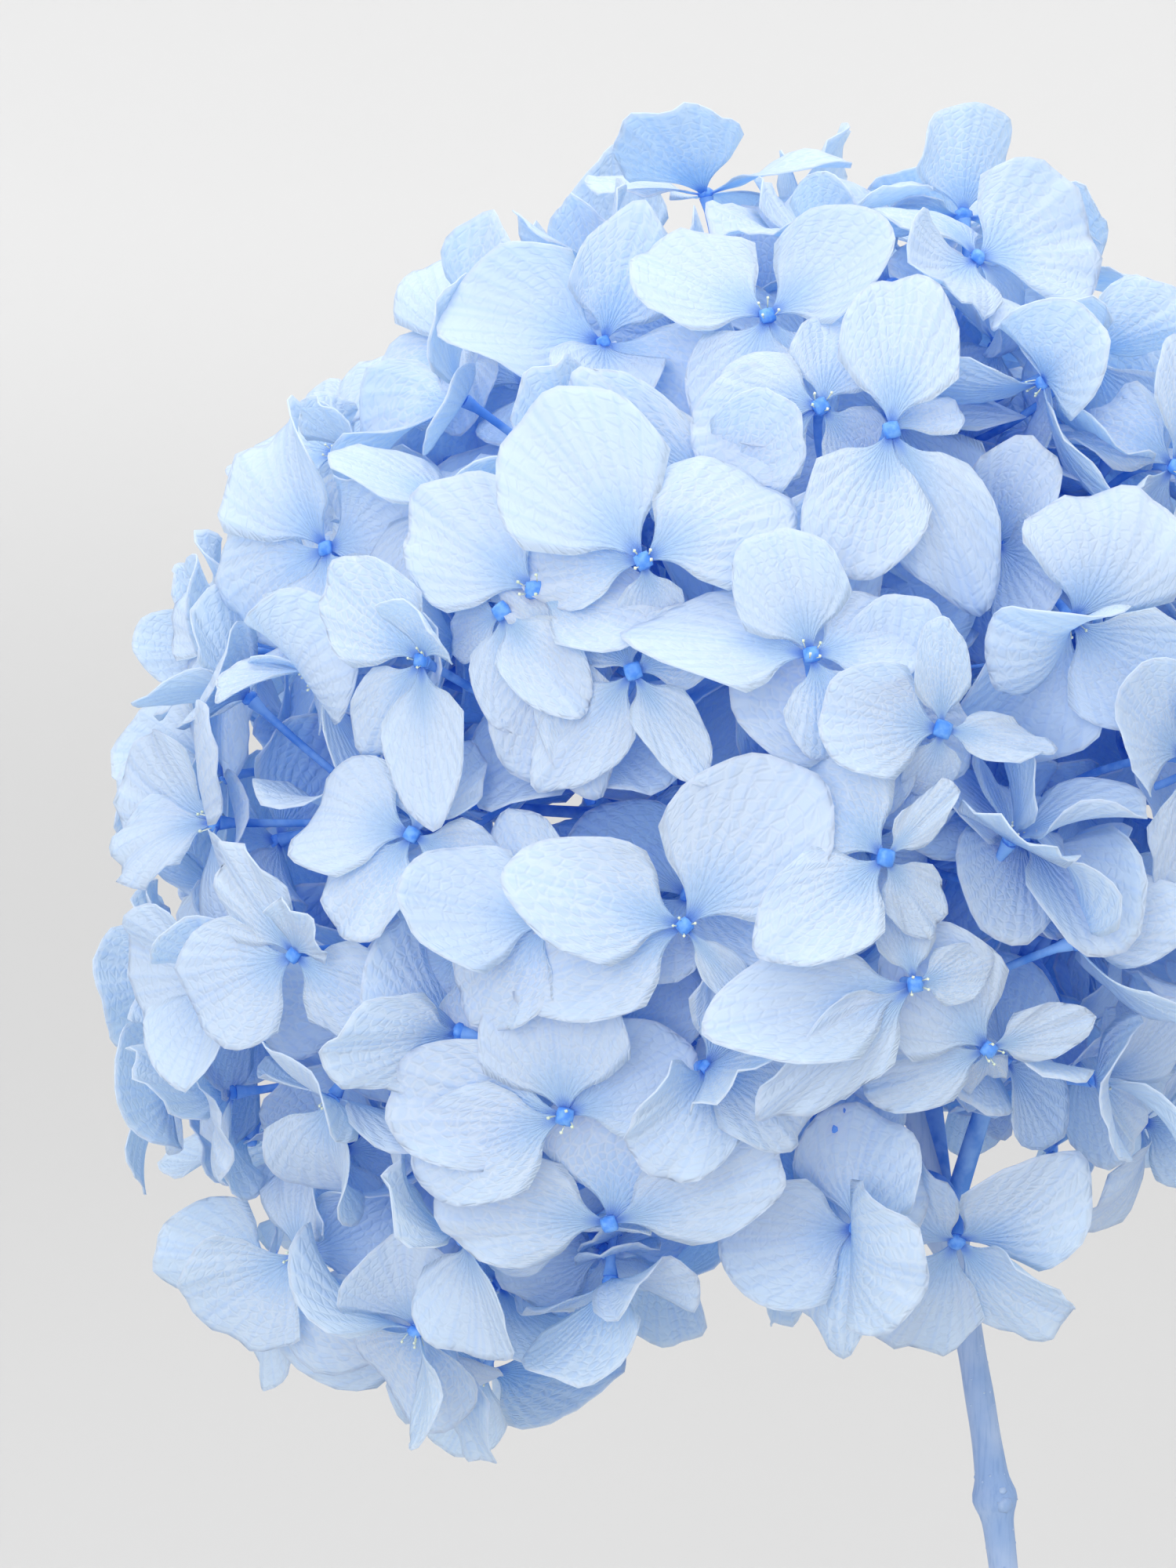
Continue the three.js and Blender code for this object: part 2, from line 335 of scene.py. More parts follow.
def sepal_pattern(tree, fan, reach, tint):
    """Each sepal's own net of cells and its ribs. A blade is about 18 mm wide and 20 mm long."""
    seed = node(tree, "ShaderNodeMath", TIMES, i0=tint, i1=37.0).outputs[0]
    place = node(tree, "ShaderNodeCombineXYZ", i0=fan, i1=reach, i2=seed).outputs[0]
    net_place = node(tree, "ShaderNodeVectorMath", TIMES, i0=place,
                     i1=(CELLS_ACROSS, CELLS_ALONG, 1.0)).outputs[0]
    net = node(tree, "ShaderNodeTexVoronoi", {"feature": "DISTANCE_TO_EDGE"}, Vector=net_place,
               Scale=1.0, Randomness=0.9).outputs["Distance"]
    cells = node(tree, "ShaderNodeMapRange", SOFT_STEP, i0=net, i1=0.02, i2=0.22).outputs[0]
    rib_place = node(tree, "ShaderNodeVectorMath", TIMES, i0=place, i1=(1.0, RIB_STRETCH, 1.0)).outputs[0]
    ribs = node(tree, "ShaderNodeTexWave", {"wave_type": "BANDS", "bands_direction": "X"},
                Vector=rib_place, Scale=RIB_SCALE, Distortion=1.3, Detail=2.0,
                Detail_Scale=1.6).outputs["Fac"]
    return cells, ribs


def sepal_colour(tree, fan, reach, tint, cells, ribs):
    """The sepal's colour: pale blades, a deeper claw that is partly dye and partly painted shade,
    cells, veins, a midrib, a pale margin, and a painted shade of deeper cyan blue deep in the head.
    """
    # Painted shade: the deeper a point lies in the head, the more of a deeper cyan blue is mixed in, up
    # to half.
    depth = node(tree, "ShaderNodeAttribute", {"attribute_name": "depth"}).outputs["Fac"]
    colour = node(tree, "ShaderNodeMix", BLEND, i0=tint, i6=linear("#e7f3fc"),
                  i7=linear("#eef7fd")).outputs[2]
    strength = node(tree, "ShaderNodeMapRange", SOFT_STEP, i0=reach, i1=0.1, i2=1.0, i3=0.42,
                    i4=0.16).outputs[0]
    strength = node(tree, "ShaderNodeMath", TIMES, i0=strength, i1=tint).outputs[0]
    dyed = node(tree, "ShaderNodeMath", TIMES, i0=cells, i1=strength).outputs[0]
    veins = node(tree, "ShaderNodeMapRange", SOFT_STEP, i0=ribs, i1=0.80, i2=1.0).outputs[0]
    veins = node(tree, "ShaderNodeMath", TIMES, i0=veins, i1=0.11).outputs[0]
    aside = node(tree, "ShaderNodeMath", {"operation": "ABSOLUTE"}, i0=fan).outputs[0]
    midrib = node(tree, "ShaderNodeMapRange", SOFT_STEP, i0=aside, i1=0.0, i2=0.045, i3=1.0,
                  i4=0.0).outputs[0]
    midrib = node(tree, "ShaderNodeMath", TIMES, i0=midrib, i1=0.17).outputs[0]
    # Value, where it starts and ends, the colour's share there, and the colour, from the blade outwards.
    # The first row, by depth in the head, is painted shade. The deep claw row is partly dye and partly
    # painted shade.
    for value, start, end, low, high, dye in (
            (depth, 0.15, 1.0, 0.0, 0.5, "#8ad4ff"), (reach, 0.05, 0.55, 1.0, 0.0, "#c2e4ff"),
            # The deep blue at the claw is partly the dye that gathers there and partly painted shade in
            # the gap at each floret's middle.
            (reach, 0.0, 0.16, 0.75, 0.0, "#4a98ff"), (dyed, None, None, 0, 0, "#a8d8ff"),
            (veins, None, None, 0, 0, "#93c8ff"), (midrib, None, None, 0, 0, "#93c8ff"),
            (reach, 0.962, 0.99, 0.0, 0.6, "#eef5ff")):
        if start is not None:
            value = node(tree, "ShaderNodeMapRange", SOFT_STEP, i0=value, i1=start, i2=end, i3=low,
                         i4=high).outputs[0]
        colour = node(tree, "ShaderNodeMix", BLEND, i0=value, i6=colour, i7=linear(dye)).outputs[2]
    return colour


def sepal_tissue():
    material, tree = new_material("dyed_sepal_tissue_painted_shade")
    fan, reach, tint = (node(tree, "ShaderNodeAttribute", {"attribute_name": label}).outputs["Fac"]
                        for label in ("fan", "reach", "tint"))
    cells, ribs = sepal_pattern(tree, fan, reach, tint)
    colour = sepal_colour(tree, fan, reach, tint, cells, ribs)
    height = node(tree, "ShaderNodeMath", {"operation": "MULTIPLY_ADD"}, i0=ribs, i1=1.6,
                  i2=cells).outputs[0]
    bump = node(tree, "ShaderNodeBump", Strength=0.55, Distance=SEPAL_BUMP, Height=height).outputs[0]
    skin = node(tree, "ShaderNodeBsdfPrincipled", Base_Color=colour, Roughness=0.62, IOR=1.4,
                Specular_IOR_Level=0.3, Normal=bump)
    through = node(tree, "ShaderNodeMix", FILTER, i0=0.55, i6=colour, i7=linear("#c6e6ff")).outputs[2]
    glow = node(tree, "ShaderNodeBsdfTranslucent", Color=through, Normal=bump)
    both = node(tree, "ShaderNodeMixShader", i0=0.5, i1=skin.outputs[0], i2=glow.outputs[0])
    node(tree, "ShaderNodeOutputMaterial", Surface=both.outputs[0])
    return material


SEPAL = sepal_tissue()
print(SEPAL.name, "nodes:", len(SEPAL.node_tree.nodes))

# %% [markdown]
# ### Buds and stalks
# These are young plant skins that took up more dye than the sepals. They are matt with a faint satin,
# at IOR 1.42, and their colour drifts over a millimetre or a few, so they read as living tissue and
# not as plastic. A noise scale of 900 gives a drift about 1 mm long, and the grain is nine times
# finer. Real cells are finer still, and wouldn't show.

# %% Skins of buds, stalks, anthers and scars
GRAIN_FINER = 9


def plain_tissue(name, low, high, scale, roughness, bump_mm):
    """A matt plant skin whose colour drifts between two dyes, with a fine grain."""
    material, tree = new_material(name)
    place = node(tree, "ShaderNodeTexCoord").outputs["Object"]
    drift = node(tree, "ShaderNodeTexNoise", Vector=place, Scale=scale, Detail=5.0).outputs["Fac"]
    share = node(tree, "ShaderNodeMapRange", SOFT_STEP, i0=drift, i1=0.35, i2=0.65).outputs[0]
    colour = node(tree, "ShaderNodeMix", BLEND, i0=share, i6=linear(low), i7=linear(high)).outputs[2]
    grain = node(tree, "ShaderNodeTexNoise", Vector=place, Scale=scale * GRAIN_FINER,
                 Detail=3.0).outputs["Fac"]
    bump = node(tree, "ShaderNodeBump", Strength=0.6, Distance=bump_mm * MM, Height=grain).outputs[0]
    skin = node(tree, "ShaderNodeBsdfPrincipled", Base_Color=colour, Roughness=roughness, IOR=1.42,
                Normal=bump)
    node(tree, "ShaderNodeOutputMaterial", Surface=skin.outputs[0])
    return material


# The bud's skin is the smoothest, so it takes a soft highlight. Anthers are dusty and scars corky.
BUD = plain_tissue("deep_blue_bud_skin", "#3a7fe8", "#62a0f4", 900, 0.5, 0.05)
FERTILE = plain_tissue("dark_blue_fertile_bud", "#2a68d4", "#4d8ff0", 900, 0.5, 0.05)
STALK = plain_tissue("dyed_green_stalk", "#4482dd", "#74a8ee", 260, 0.6, 0.06)
ANTHER = plain_tissue("pale_anther", "#cfe0c4", "#e4ecd6", 800, 0.7, 0.03)
SCAR = plain_tissue("corky_scar", "#86a4d2", "#a8c0e0", 500, 0.75, 0.06)
print("plant skins:", [m.name for m in (BUD, FERTILE, STALK, ANTHER, SCAR)])

# %% [markdown]
# ### Dyed bark
# The stem is young wood with a thin bark that took the dye greyer than the flowers. It is rougher
# than the stalks, with ridges about 0.6 mm apart along the stem, so it scatters light and looks dry.
# The cut end shows a ring of pale wood round a paler pith.

# %% Bark finish
RIDGE_SCALE = 1700
RIDGE_STRETCH = 0.09
PITH_EDGE = (0.8 * MM, 1.1 * MM)
WOOD_EDGE = (1.9 * MM, 2.1 * MM)
CUT_EDGE = (0.02 * MM, 0.12 * MM)


def bark(name, low, high):
    """Dyed bark. Its grain is fine ridges along the stem, and the cut end shows pale wood and pith."""
    material, tree = new_material(name)
    place = node(tree, "ShaderNodeTexCoord").outputs["Object"]
    along_stem = node(tree, "ShaderNodeVectorMath", TIMES, i0=place,
                      i1=(1.0, 1.0, RIDGE_STRETCH)).outputs[0]
    drift = node(tree, "ShaderNodeTexNoise", Vector=place, Scale=70, Detail=5.0).outputs["Fac"]
    ridges = node(tree, "ShaderNodeTexNoise", Vector=along_stem, Scale=RIDGE_SCALE,
                  Detail=4.0).outputs["Fac"]
    share = node(tree, "ShaderNodeMapRange", SOFT_STEP, i0=drift, i1=0.35, i2=0.65).outputs[0]
    colour = node(tree, "ShaderNodeMix", BLEND, i0=share, i6=linear(low), i7=linear(high)).outputs[2]
    streaks = node(tree, "ShaderNodeMapRange", SOFT_STEP, i0=ridges, i1=0.45, i2=0.75,
                   i4=0.45).outputs[0]
    colour = node(tree, "ShaderNodeMix", BLEND, i0=streaks, i6=colour, i7=linear("#5f86c0")).outputs[2]
    apart = node(tree, "ShaderNodeSeparateXYZ", i0=place)
    across_cut = node(tree, "ShaderNodeCombineXYZ", i0=apart.outputs[0], i1=apart.outputs[1]).outputs[0]
    radius = node(tree, "ShaderNodeVectorMath", {"operation": "LENGTH"}, i0=across_cut).outputs["Value"]
    wood = linear("#eef3f2")
    for (start, end), outside in ((PITH_EDGE, "#b9cbe2"), (WOOD_EDGE, low)):
        share = node(tree, "ShaderNodeMapRange", SOFT_STEP, i0=radius, i1=start, i2=end).outputs[0]
        wood = node(tree, "ShaderNodeMix", BLEND, i0=share, i6=wood, i7=linear(outside)).outputs[2]
    share = node(tree, "ShaderNodeMapRange", SOFT_STEP, i0=apart.outputs[2], i1=CUT_EDGE[0],
                 i2=CUT_EDGE[1]).outputs[0]
    colour = node(tree, "ShaderNodeMix", BLEND, i0=share, i6=wood, i7=colour).outputs[2]
    bump = node(tree, "ShaderNodeBump", Strength=0.7, Distance=0.18 * MM, Height=ridges).outputs[0]
    skin = node(tree, "ShaderNodeBsdfPrincipled", Base_Color=colour, Roughness=0.66, IOR=1.45,
                Normal=bump)
    node(tree, "ShaderNodeOutputMaterial", Surface=skin.outputs[0])
    return material


WOOD = bark("dyed_woody_stem", "#7f9fd0", "#9db4d8")
print(WOOD.name, "nodes:", len(WOOD.node_tree.nodes))

# %% [markdown]
# ## Placing florets
# The packed florets form the outer layer. Real heads have several times as many, pushed up
# between them from below. Each one added here is put where the head is still barest, a little
# deeper, and of several turns and tilts the one whose sepals cut through their neighbours least is
# kept. A coarse copy of every sepal is enough for that test.

# %% The head's outline
# All in millimetres: an egg-like ball that leans over, and the stem's two joints below it.
HEAD_CENTRE = np.array([-52.0, -4.0, 283.0])
HEAD_HALF_AXES = np.array([83.0, 88.0, 100.0])
HEAD_LEAN = math.radians(33)
LEAN = np.array([[math.cos(HEAD_LEAN), 0, math.sin(HEAD_LEAN)], [0, 1, 0],
                 [-math.sin(HEAD_LEAN), 0, math.cos(HEAD_LEAN)]])
LOWER_JOINT = np.array([-17.0, 5.0, 215.0])
UPPER_JOINT = np.array([-24.0, 3.0, 239.0])
# An added floret stands within this of a packed one, and no rim passes the outline. Near the stem
# the head's underside stays bare.
NEAR_PACKED = 25
OUTLINE = 1.17
BARE_SIDE = np.array([0.25, -0.15, -0.95]) / np.linalg.norm([0.25, -0.15, -0.95])
BARE_ANGLE = math.radians(41)


def head_point(direction, depth):
    """The point a depth below the head's surface in a direction, and the surface's normal there."""
    local = LEAN.T @ direction
    reach = 1 / np.linalg.norm(local / HEAD_HALF_AXES)
    normal = unit(LEAN @ (local * reach / HEAD_HALF_AXES**2))
    return HEAD_CENTRE + direction * reach - normal * depth, normal


print("head's half axes in mm:", HEAD_HALF_AXES)

# %% [markdown]
# ### How a floret finds room
# Sepals push each other aside as they open. A simulation of a thousand sheets would take hours, so
# each sepal is tried a few times with other measures, and the try that cuts its neighbours least and
# stays inside the head's outline is kept. Some florets are half closed, and those sit deeper.

# %% Fit sepals among their neighbours
SEED = 20
CLOSED_ANGLES = [0, 8, 18, 32, 46]
CLOSED_SINKS = 9
NEIGHBOUR_REACH = 42
rng = random.Random(SEED)


def turned(points, centre, axis, spin, seat_angle):
    """Carries sepal points into place: spun about the floret's axis and moved to its centre."""
    x, y = across(axis)
    a = spin + seat_angle - math.pi / 2
    px = points[..., 0] * math.cos(a) - points[..., 1] * math.sin(a)
    py = points[..., 0] * math.sin(a) + points[..., 1] * math.cos(a)
    return centre + px[..., None] * x + py[..., None] * y + points[..., 2:3] * axis


def set_in_place(sheet, place, seat_angle):
    return turned(sheet, place["centre"], place["axis"], place["spin"], seat_angle)


def coarse_tree(sepal, place, seat_angle):
    """A sepal of four by five faces, ready for clash tests."""
    points = set_in_place(sepal_sheet(sepal, 4, 5)[0], place, seat_angle)
    index = np.arange(30).reshape(5, 6)
    quads = np.stack([index[:-1, :-1], index[:-1, 1:], index[1:, 1:], index[1:, :-1]], axis=-1)
    return BVHTree.FromPolygons([tuple(p) for p in points.reshape(-1, 3)],
                                [tuple(q) for q in quads.reshape(-1, 4).tolist()])


grown = []


def neighbours(centre):
    near = [f for f in grown if np.linalg.norm(f["centre"] - centre) < NEIGHBOUR_REACH]
    return [tree for f in near for tree in f["trees"]]


def clashes(tree, others):
    return sum(len(tree.overlap(other)) for other in others)


def standing_out(sepal, place, seat_angle):
    """Whether a sepal reaches out of the head's rounded outline."""
    rim = set_in_place(sepal_sheet(sepal, 2, 4)[0][-1], place, seat_angle)
    return np.max(np.linalg.norm((rim - HEAD_CENTRE) @ LEAN / HEAD_HALF_AXES, axis=1)) > OUTLINE


def grow_sepals(place, size, tries):
    """Four sepals for a floret. Each is the try that cuts its neighbours least.

    Each later try is a little smaller, and every second sepal stands a little higher, because the
    inner pair of a real floret lies over the outer pair.
    """
    closed = math.radians(rng.choice(CLOSED_ANGLES))
    place["centre"] = place["centre"] - CLOSED_SINKS * math.sin(closed) * place["axis"]
    others = neighbours(place["centre"])
    place["sepals"], place["trees"], place["cost"] = [], [], 0
    for seat in range(4):
        angle = seat * math.pi / 2 + math.radians(rng.gauss(0, 12))
        best = None
        for attempt in range(tries):
            sepal = new_sepal(rng, size * (1 - 0.03 * attempt), closed)
            if seat % 2:
                sepal["pitch"] += math.radians(6)
            tree = coarse_tree(sepal, place, angle)
            cost = clashes(tree, others) + 0.5 * clashes(tree, place["trees"])
            cost += 3 * standing_out(sepal, place, angle)
            if best is None or cost < best[0]:
                best = (cost, sepal, tree)
            if cost == 0:
                break
        place["cost"] += best[0]
        place["sepals"].append((angle, best[1]))
        place["trees"].append(best[2])
    return place


def surface_direction(i, count):
    """The i-th of many even directions over a ball."""
    z = 1 - 2 * (i + 0.5) / count
    turn = i * math.pi * (3 - math.sqrt(5))
    return np.array([math.sqrt(1 - z * z) * math.cos(turn), math.sqrt(1 - z * z) * math.sin(turn), z])


print("random draws start from seed", SEED, "and florets close by up to", CLOSED_ANGLES[-1], "degrees")

# %% [markdown]
# ### Florets set one by one
# The florets on the head's front are the ones that a viewer knows the flower by, so they are set one
# by one: the way each faces, and for each sepal its direction round the floret, its length and
# breadth, how it pitches and bends, how each side cups, and its twist.

# %% Florets set one by one
# Preserved sepals curl more than fresh ones, so every bend and cup below is made stronger.
BEND_MORE = 1.5
CUP_MORE = 1.4


def set_sepal(angle, length, breadth, pitch, bend, left, right, twist):
    sepal = new_sepal(rng)
    bend, left, right = BEND_MORE * bend + rng.gauss(0, 6), CUP_MORE * left, CUP_MORE * right
    sepal.update(length=length, breadth=breadth, pitch=math.radians(pitch), bend=math.radians(bend),
                 cup=(math.radians(left), math.radians(right)), twist=math.radians(twist), fold=0.0)
    return math.radians(angle), sepal


def facing(around, up):
    """Unit vector from degrees round from the front, +X side positive, and degrees up."""
    a, b = math.radians(around), math.radians(up)
    return np.array([math.sin(a) * math.cos(b), -math.cos(a) * math.cos(b), math.sin(b)])


# Node, sideways and upward shift in mm, facing, sepals.
PACKED_FRONT = {
    "floret_01": ((-3, 0.5), (-2, 8), [
        (54, 25.5, 0.78, 14, -14, 8, 14, -6), (163, 23.5, 0.66, 12, -10, -10, 35, -32),
        (200, 23.5, 0.66, -6, -14, 10, 20, -18), (-50, 17.5, 0.28, -5, -12, 50, 50, 40)]),
    "floret_02": ((-2, 4.4), (14, 22), [
        (78, 22.5, 0.62, 8, -10, 14, 14, 6), (245, 22, 0.64, 8, -14, 8, 8, 0),
        (-62, 25, 0.52, 0, -22, 24, -20, -14), (50, 19, 0.7, -26, -20, 20, 10, 20)]),
    "floret_03": ((-5, 2.7), (-22, 15), [
        (140, 17, 0.74, 14, -4, 20, 20, 8), (62, 13, 0.92, 38, 36, 45, 45, 0),
        (-80, 21, 0.49, 6, -18, 14, 14, 0), (232, 16, 0.62, 0, -30, 30, -20, 20)]),
    "floret_04": ((-1, 2.2), (14, 10), [
        (172, 17.5, 0.74, 14, -10, 22, 22, 6), (96, 15, 0.42, 22, 10, 60, 40, 30),
        (-10, 14.5, 0.45, 6, -10, 10, 30, 50), (262, 11, 0.6, -20, -30, 20, 20, 0)]),
    "floret_05": ((-6, 0), (-25, 0), [
        (128, 17, 0.6, 10, -10, 20, 20, 20), (205, 19, 0.84, 6, -12, 10, 10, 0),
        (-30, 17, 0.7, 6, -25, 20, -15, 10), (55, 11, 0.8, 30, 10, 30, 30, 0)]),
    "floret_06": ((-2, 0), (20, -8), [
        (132, 20.5, 0.82, 6, -10, 10, 10, 0), (14, 14.5, 0.45, 0, 0, 20, 20, 30),
        (202, 17, 0.5, -5, -20, 30, 30, -30), (285, 11, 0.6, -30, -20, 20, 20, 0)]),
    "floret_07": ((0, 0), (35, 5), [
        (150, 19, 0.85, 10, 10, 30, 30, 0), (62, 16, 0.8, 20, 10, 40, 20, 0),
        (-72, 23, 0.66, -4, -15, 10, -20, 0), (-14, 17, 0.8, -10, -15, 10, 10, 0)]),
    "floret_08": ((-2, 4), (-8, -14), [
        (168, 24, 0.62, 12, -12, 16, 10, -8), (26, 27, 0.44, 14, -12, 25, 10, 24),
        (72, 22.5, 0.98, 2, -10, 8, 8, 0), (-90, 12, 0.7, -40, -30, 10, 10, 0)]),
}
# Place on the head, depth below its surface, facing, sepals.
ADDED_FRONT = [
    ((-10, 27), -3, (-8, 14), [
        (127, 26, 0.76, 8, -14, 10, 10, 0), (32, 22, 0.78, 26, -52, -20, -20, 10),
        (172, 19, 0.7, -12, -10, 10, 10, 0), (-80, 12, 0.6, -30, -10, 10, 10, 0)]),
    ((-4, 36), 3, (0, 22), [
        (146, 24, 0.5, 2, 0, 20, 20, 0), (208, 10, 0.68, 12, 0, 10, 10, 0),
        (40, 15, 0.85, 8, 26, 40, 30, 0), (-40, 13, 0.7, -10, 0, 10, 10, 0)]),
    ((-21, 25), -1, (-18, 18), [
        (146, 21, 0.84, 10, -14, 12, 10, 0), (-14, 19, 0.72, 6, -12, 10, 10, 48),
        (60, 15, 0.7, -10, -10, 10, 10, 0), (235, 13, 0.6, -20, -20, 10, 10, 0)]),
    ((-24, 23), -1, (-30, 22), [
        (284, 16, 0.56, 4, -26, -20, 30, 26), (318, 18, 0.55, 6, -20, 20, 20, 20),
        (200, 10, 0.8, -10, -20, 10, 10, 0), (100, 11, 0.8, -24, 0, 10, 10, 0)]),
    ((-18, 21), 0, (-10, 20), [
        (283, 21, 0.46, 6, -20, 14, -16, 8), (252, 19, 0.58, -6, -20, 20, 10, 12),
        (140, 10, 0.6, 0, -10, 10, 10, 0), (20, 12, 0.6, -16, -20, 20, 10, 0)]),
    ((-11, 18), 1, (-2, 20), [
        (-58, 17, 0.46, 10, -14, 24, 24, 10), (230, 18, 0.6, -8, -10, 10, 10, 0),
        (30, 13, 0.8, -10, 20, 30, 30, 0), (120, 12, 0.7, -14, -20, 10, 10, 0)]),
    ((5, 19), -1, (4, 34), [
        (170, 22, 0.7, 8, -16, 10, 10, -28), (112, 17, 0.8, 42, -20, -30, 50, 0),
        (20, 16, 0.8, 0, -20, 10, 10, 0), (-70, 14, 0.7, -10, -30, 10, 10, 0)]),
    ((12, 14), 4, (8, 12), [
        (158, 21, 0.92, 4, -10, 12, 12, 0), (80, 16, 0.8, 10, 0, 20, 20, 0),
        (-20, 14, 0.8, -10, -20, 10, 10, 0), (250, 15, 0.8, -10, -20, 10, 10, 0)]),
    ((8, 42), 0, (6, 26), [
        (168, 14, 0.85, 16, -30, 20, -30, 20), (196, 17, 0.95, -8, -8, 10, 10, 0),
        (70, 16, 0.7, 0, -20, 20, 20, 0), (-40, 13, 0.7, -20, -20, 20, 10, 0)]),
    ((3, 53), 0, (0, 34), [
        (30, 20, 0.75, 24, 10, 30, 30, 0), (150, 20, 0.85, 6, -10, 10, 10, -20),
        (-60, 18, 0.5, -6, -20, 20, 20, 20), (250, 18, 0.8, 0, -20, 10, 10, 0)]),
    ((-17, -21), 0, (-14, -4), [
        (176, 25, 0.6, 2, -10, 10, 14, -14), (200, 23, 0.62, 12, -14, 10, 10, -6),
        (98, 19, 0.95, 6, -12, 10, 10, 0), (30, 18, 0.8, -20, 0, 10, 10, 0)]),
    ((14, -9), -1, (10, 4), [
        (190, 28, 0.5, 8, -12, 30, 20, -34), (218, 26, 0.46, 10, -10, 20, 34, 34),
        (100, 13, 0.5, 0, -20, 30, 30, 0), (10, 12, 0.6, -14, -10, 20, 20, 0)]),
    ((11, 2), -1, (10, 16), [
        (216, 20, 0.66, 16, -14, 14, 24, -20), (130, 18, 0.78, 12, -34, -10, 24, 10),
        (44, 13, 0.36, 20, 0, 40, 40, 30), (-50, 12, 0.6, -20, 0, 10, 10, 0)]),
    ((-18, -4), 2, (-20, 15), [
        (174, 20, 0.78, 6, 26, 16, 10, -20), (122, 16, 0.7, 0, -10, 10, 10, 0),
        (226, 17, 0.8, -2, -12, 10, 10, 0), (30, 14, 0.7, -20, 0, 10, 10, 0)]),
    ((-31, 3), 0, (-25, 25), [
        (170, 19, 0.8, 26, -46, 16, 10, -10), (240, 16, 0.7, 10, -20, 20, 10, 0),
        (80, 15, 0.8, -8, -10, 20, 10, 0), (-20, 14, 0.7, -10, -20, 10, 10, 20)]),
]


def grow_by_hand(place, around_up, sepals, shift=(0, 0)):
    place.update(axis=facing(*around_up), spin=0.0, cost=0)
    place["centre"] = place["centre"] + np.array([shift[0], 0, shift[1]])
    place["sepals"] = [set_sepal(*row) for row in sepals]
    place["trees"] = [coarse_tree(sepal, place, angle) for angle, sepal in place["sepals"]]
    grown.append(place)


for place in packed:
    if place["name"] in PACKED_FRONT:
        shift, way, sepals = PACKED_FRONT[place["name"]]
        grow_by_hand(place, way, sepals, shift)
print("florets set by hand on the packed ones:", len(grown))

# %% [markdown]
# ### The outer layer
# The other packed florets keep their node's place, but each one faces its own way, as real ones do.
# The spots for added florets are spread evenly over the head, where packed ones are near, and away
# from the side where the branches come in.

# %% Add florets between the packed ones
FACING_STRAY = 0.42
outer = np.array([p["centre"] for p in packed])
candidates = [d for d in (surface_direction(i, 1500) for i in range(1500))
              if np.min(np.linalg.norm(outer - head_point(d, 0)[0], axis=1)) < NEAR_PACKED
              and math.acos(np.clip(d @ BARE_SIDE, -1, 1)) > BARE_ANGLE]
fills = []
for spot, depth, way, sepals in ADDED_FRONT:
    place = {"centre": head_point(facing(*spot), depth)[0]}
    grow_by_hand(place, way, sepals)
    fills.append(place)
for place in packed:
    if place["name"] not in PACKED_FRONT:
        place["axis"] = unit(place["axis"] + np.array([rng.gauss(0, FACING_STRAY) for _ in range(3)]))
        grow_sepals(place, 1.0, 8)
        grown.append(place)
print("outer florets:", len(grown), "clashes left:", round(sum(p["cost"] for p in grown)))

# %% [markdown]
# ### The layers behind
# Through the gaps of a real head one sees more florets, and behind them deeper ones, until it is
# dark. So one layer fills the spaces of the outer one, and two more stand behind it.

# %% Fill the spaces between, then two deeper layers behind them
spots = np.array([head_point(d, 0)[0] for d in candidates])


def add_layer(count, nearest, depth_range, stray, tries):
    """Puts florets one by one where the layer is barest. Nearest is each spot's distance to one."""
    cost = 0
    for _ in range(count):
        pick = int(np.argmax(nearest))
        nearest = np.minimum(nearest, np.linalg.norm(spots - spots[pick], axis=1))
        best = None
        for _ in range(tries):
            centre, normal = head_point(candidates[pick], rng.uniform(*depth_range))
            axis = unit(normal + np.array([rng.gauss(0, stray) for _ in range(3)]))
            place = {"centre": centre, "axis": axis, "spin": rng.uniform(0, math.pi / 2)}
            grow_sepals(place, rng.uniform(0.85, 1.0), 4)
            if best is None or place["cost"] < best["cost"]:
                best = place
        fills.append(best)
        grown.append(best)
        cost += best["cost"]
    print("added", count, "florets, last spacing", round(float(nearest.max()), 1), "mm, clashes", cost)


to_grown = np.min([np.linalg.norm(spots - p["centre"], axis=1) for p in grown], axis=0)
untouched = np.full(len(spots), 99.0)
add_layer(75, to_grown, (0, 7), 0.75, 7)
outer_fills = len(fills)
add_layer(85, untouched, (8, 16), 0.55, 4)
add_layer(80, untouched, (17, 28), 0.5, 2)

# %% [markdown]
# ## The branching
# Each floret's stalk ends at a twig. A packed floret belongs to the branch whose mesh comes nearest
# to its stalk's foot. An added floret's stalk joins the nearest branch further in.

# %% Lines of the branches
BRANCHES = [n for n in sorted(frame["nodes"]) if n.startswith("branch_")]
UPPER_BRANCHES = ("branch_front_high", "branch_back_high", "branch_top")
HUB_REACH = 0.56
BRANCH_RISE = 0.08
TWIG_BEND = 13
branch_points = {n: np.array([v.co for v in frame["nodes"][n].data.vertices]) / MM for n in BRANCHES}


def gap_to(name, point):
    return np.min(np.linalg.norm(branch_points[name] - point, axis=1))


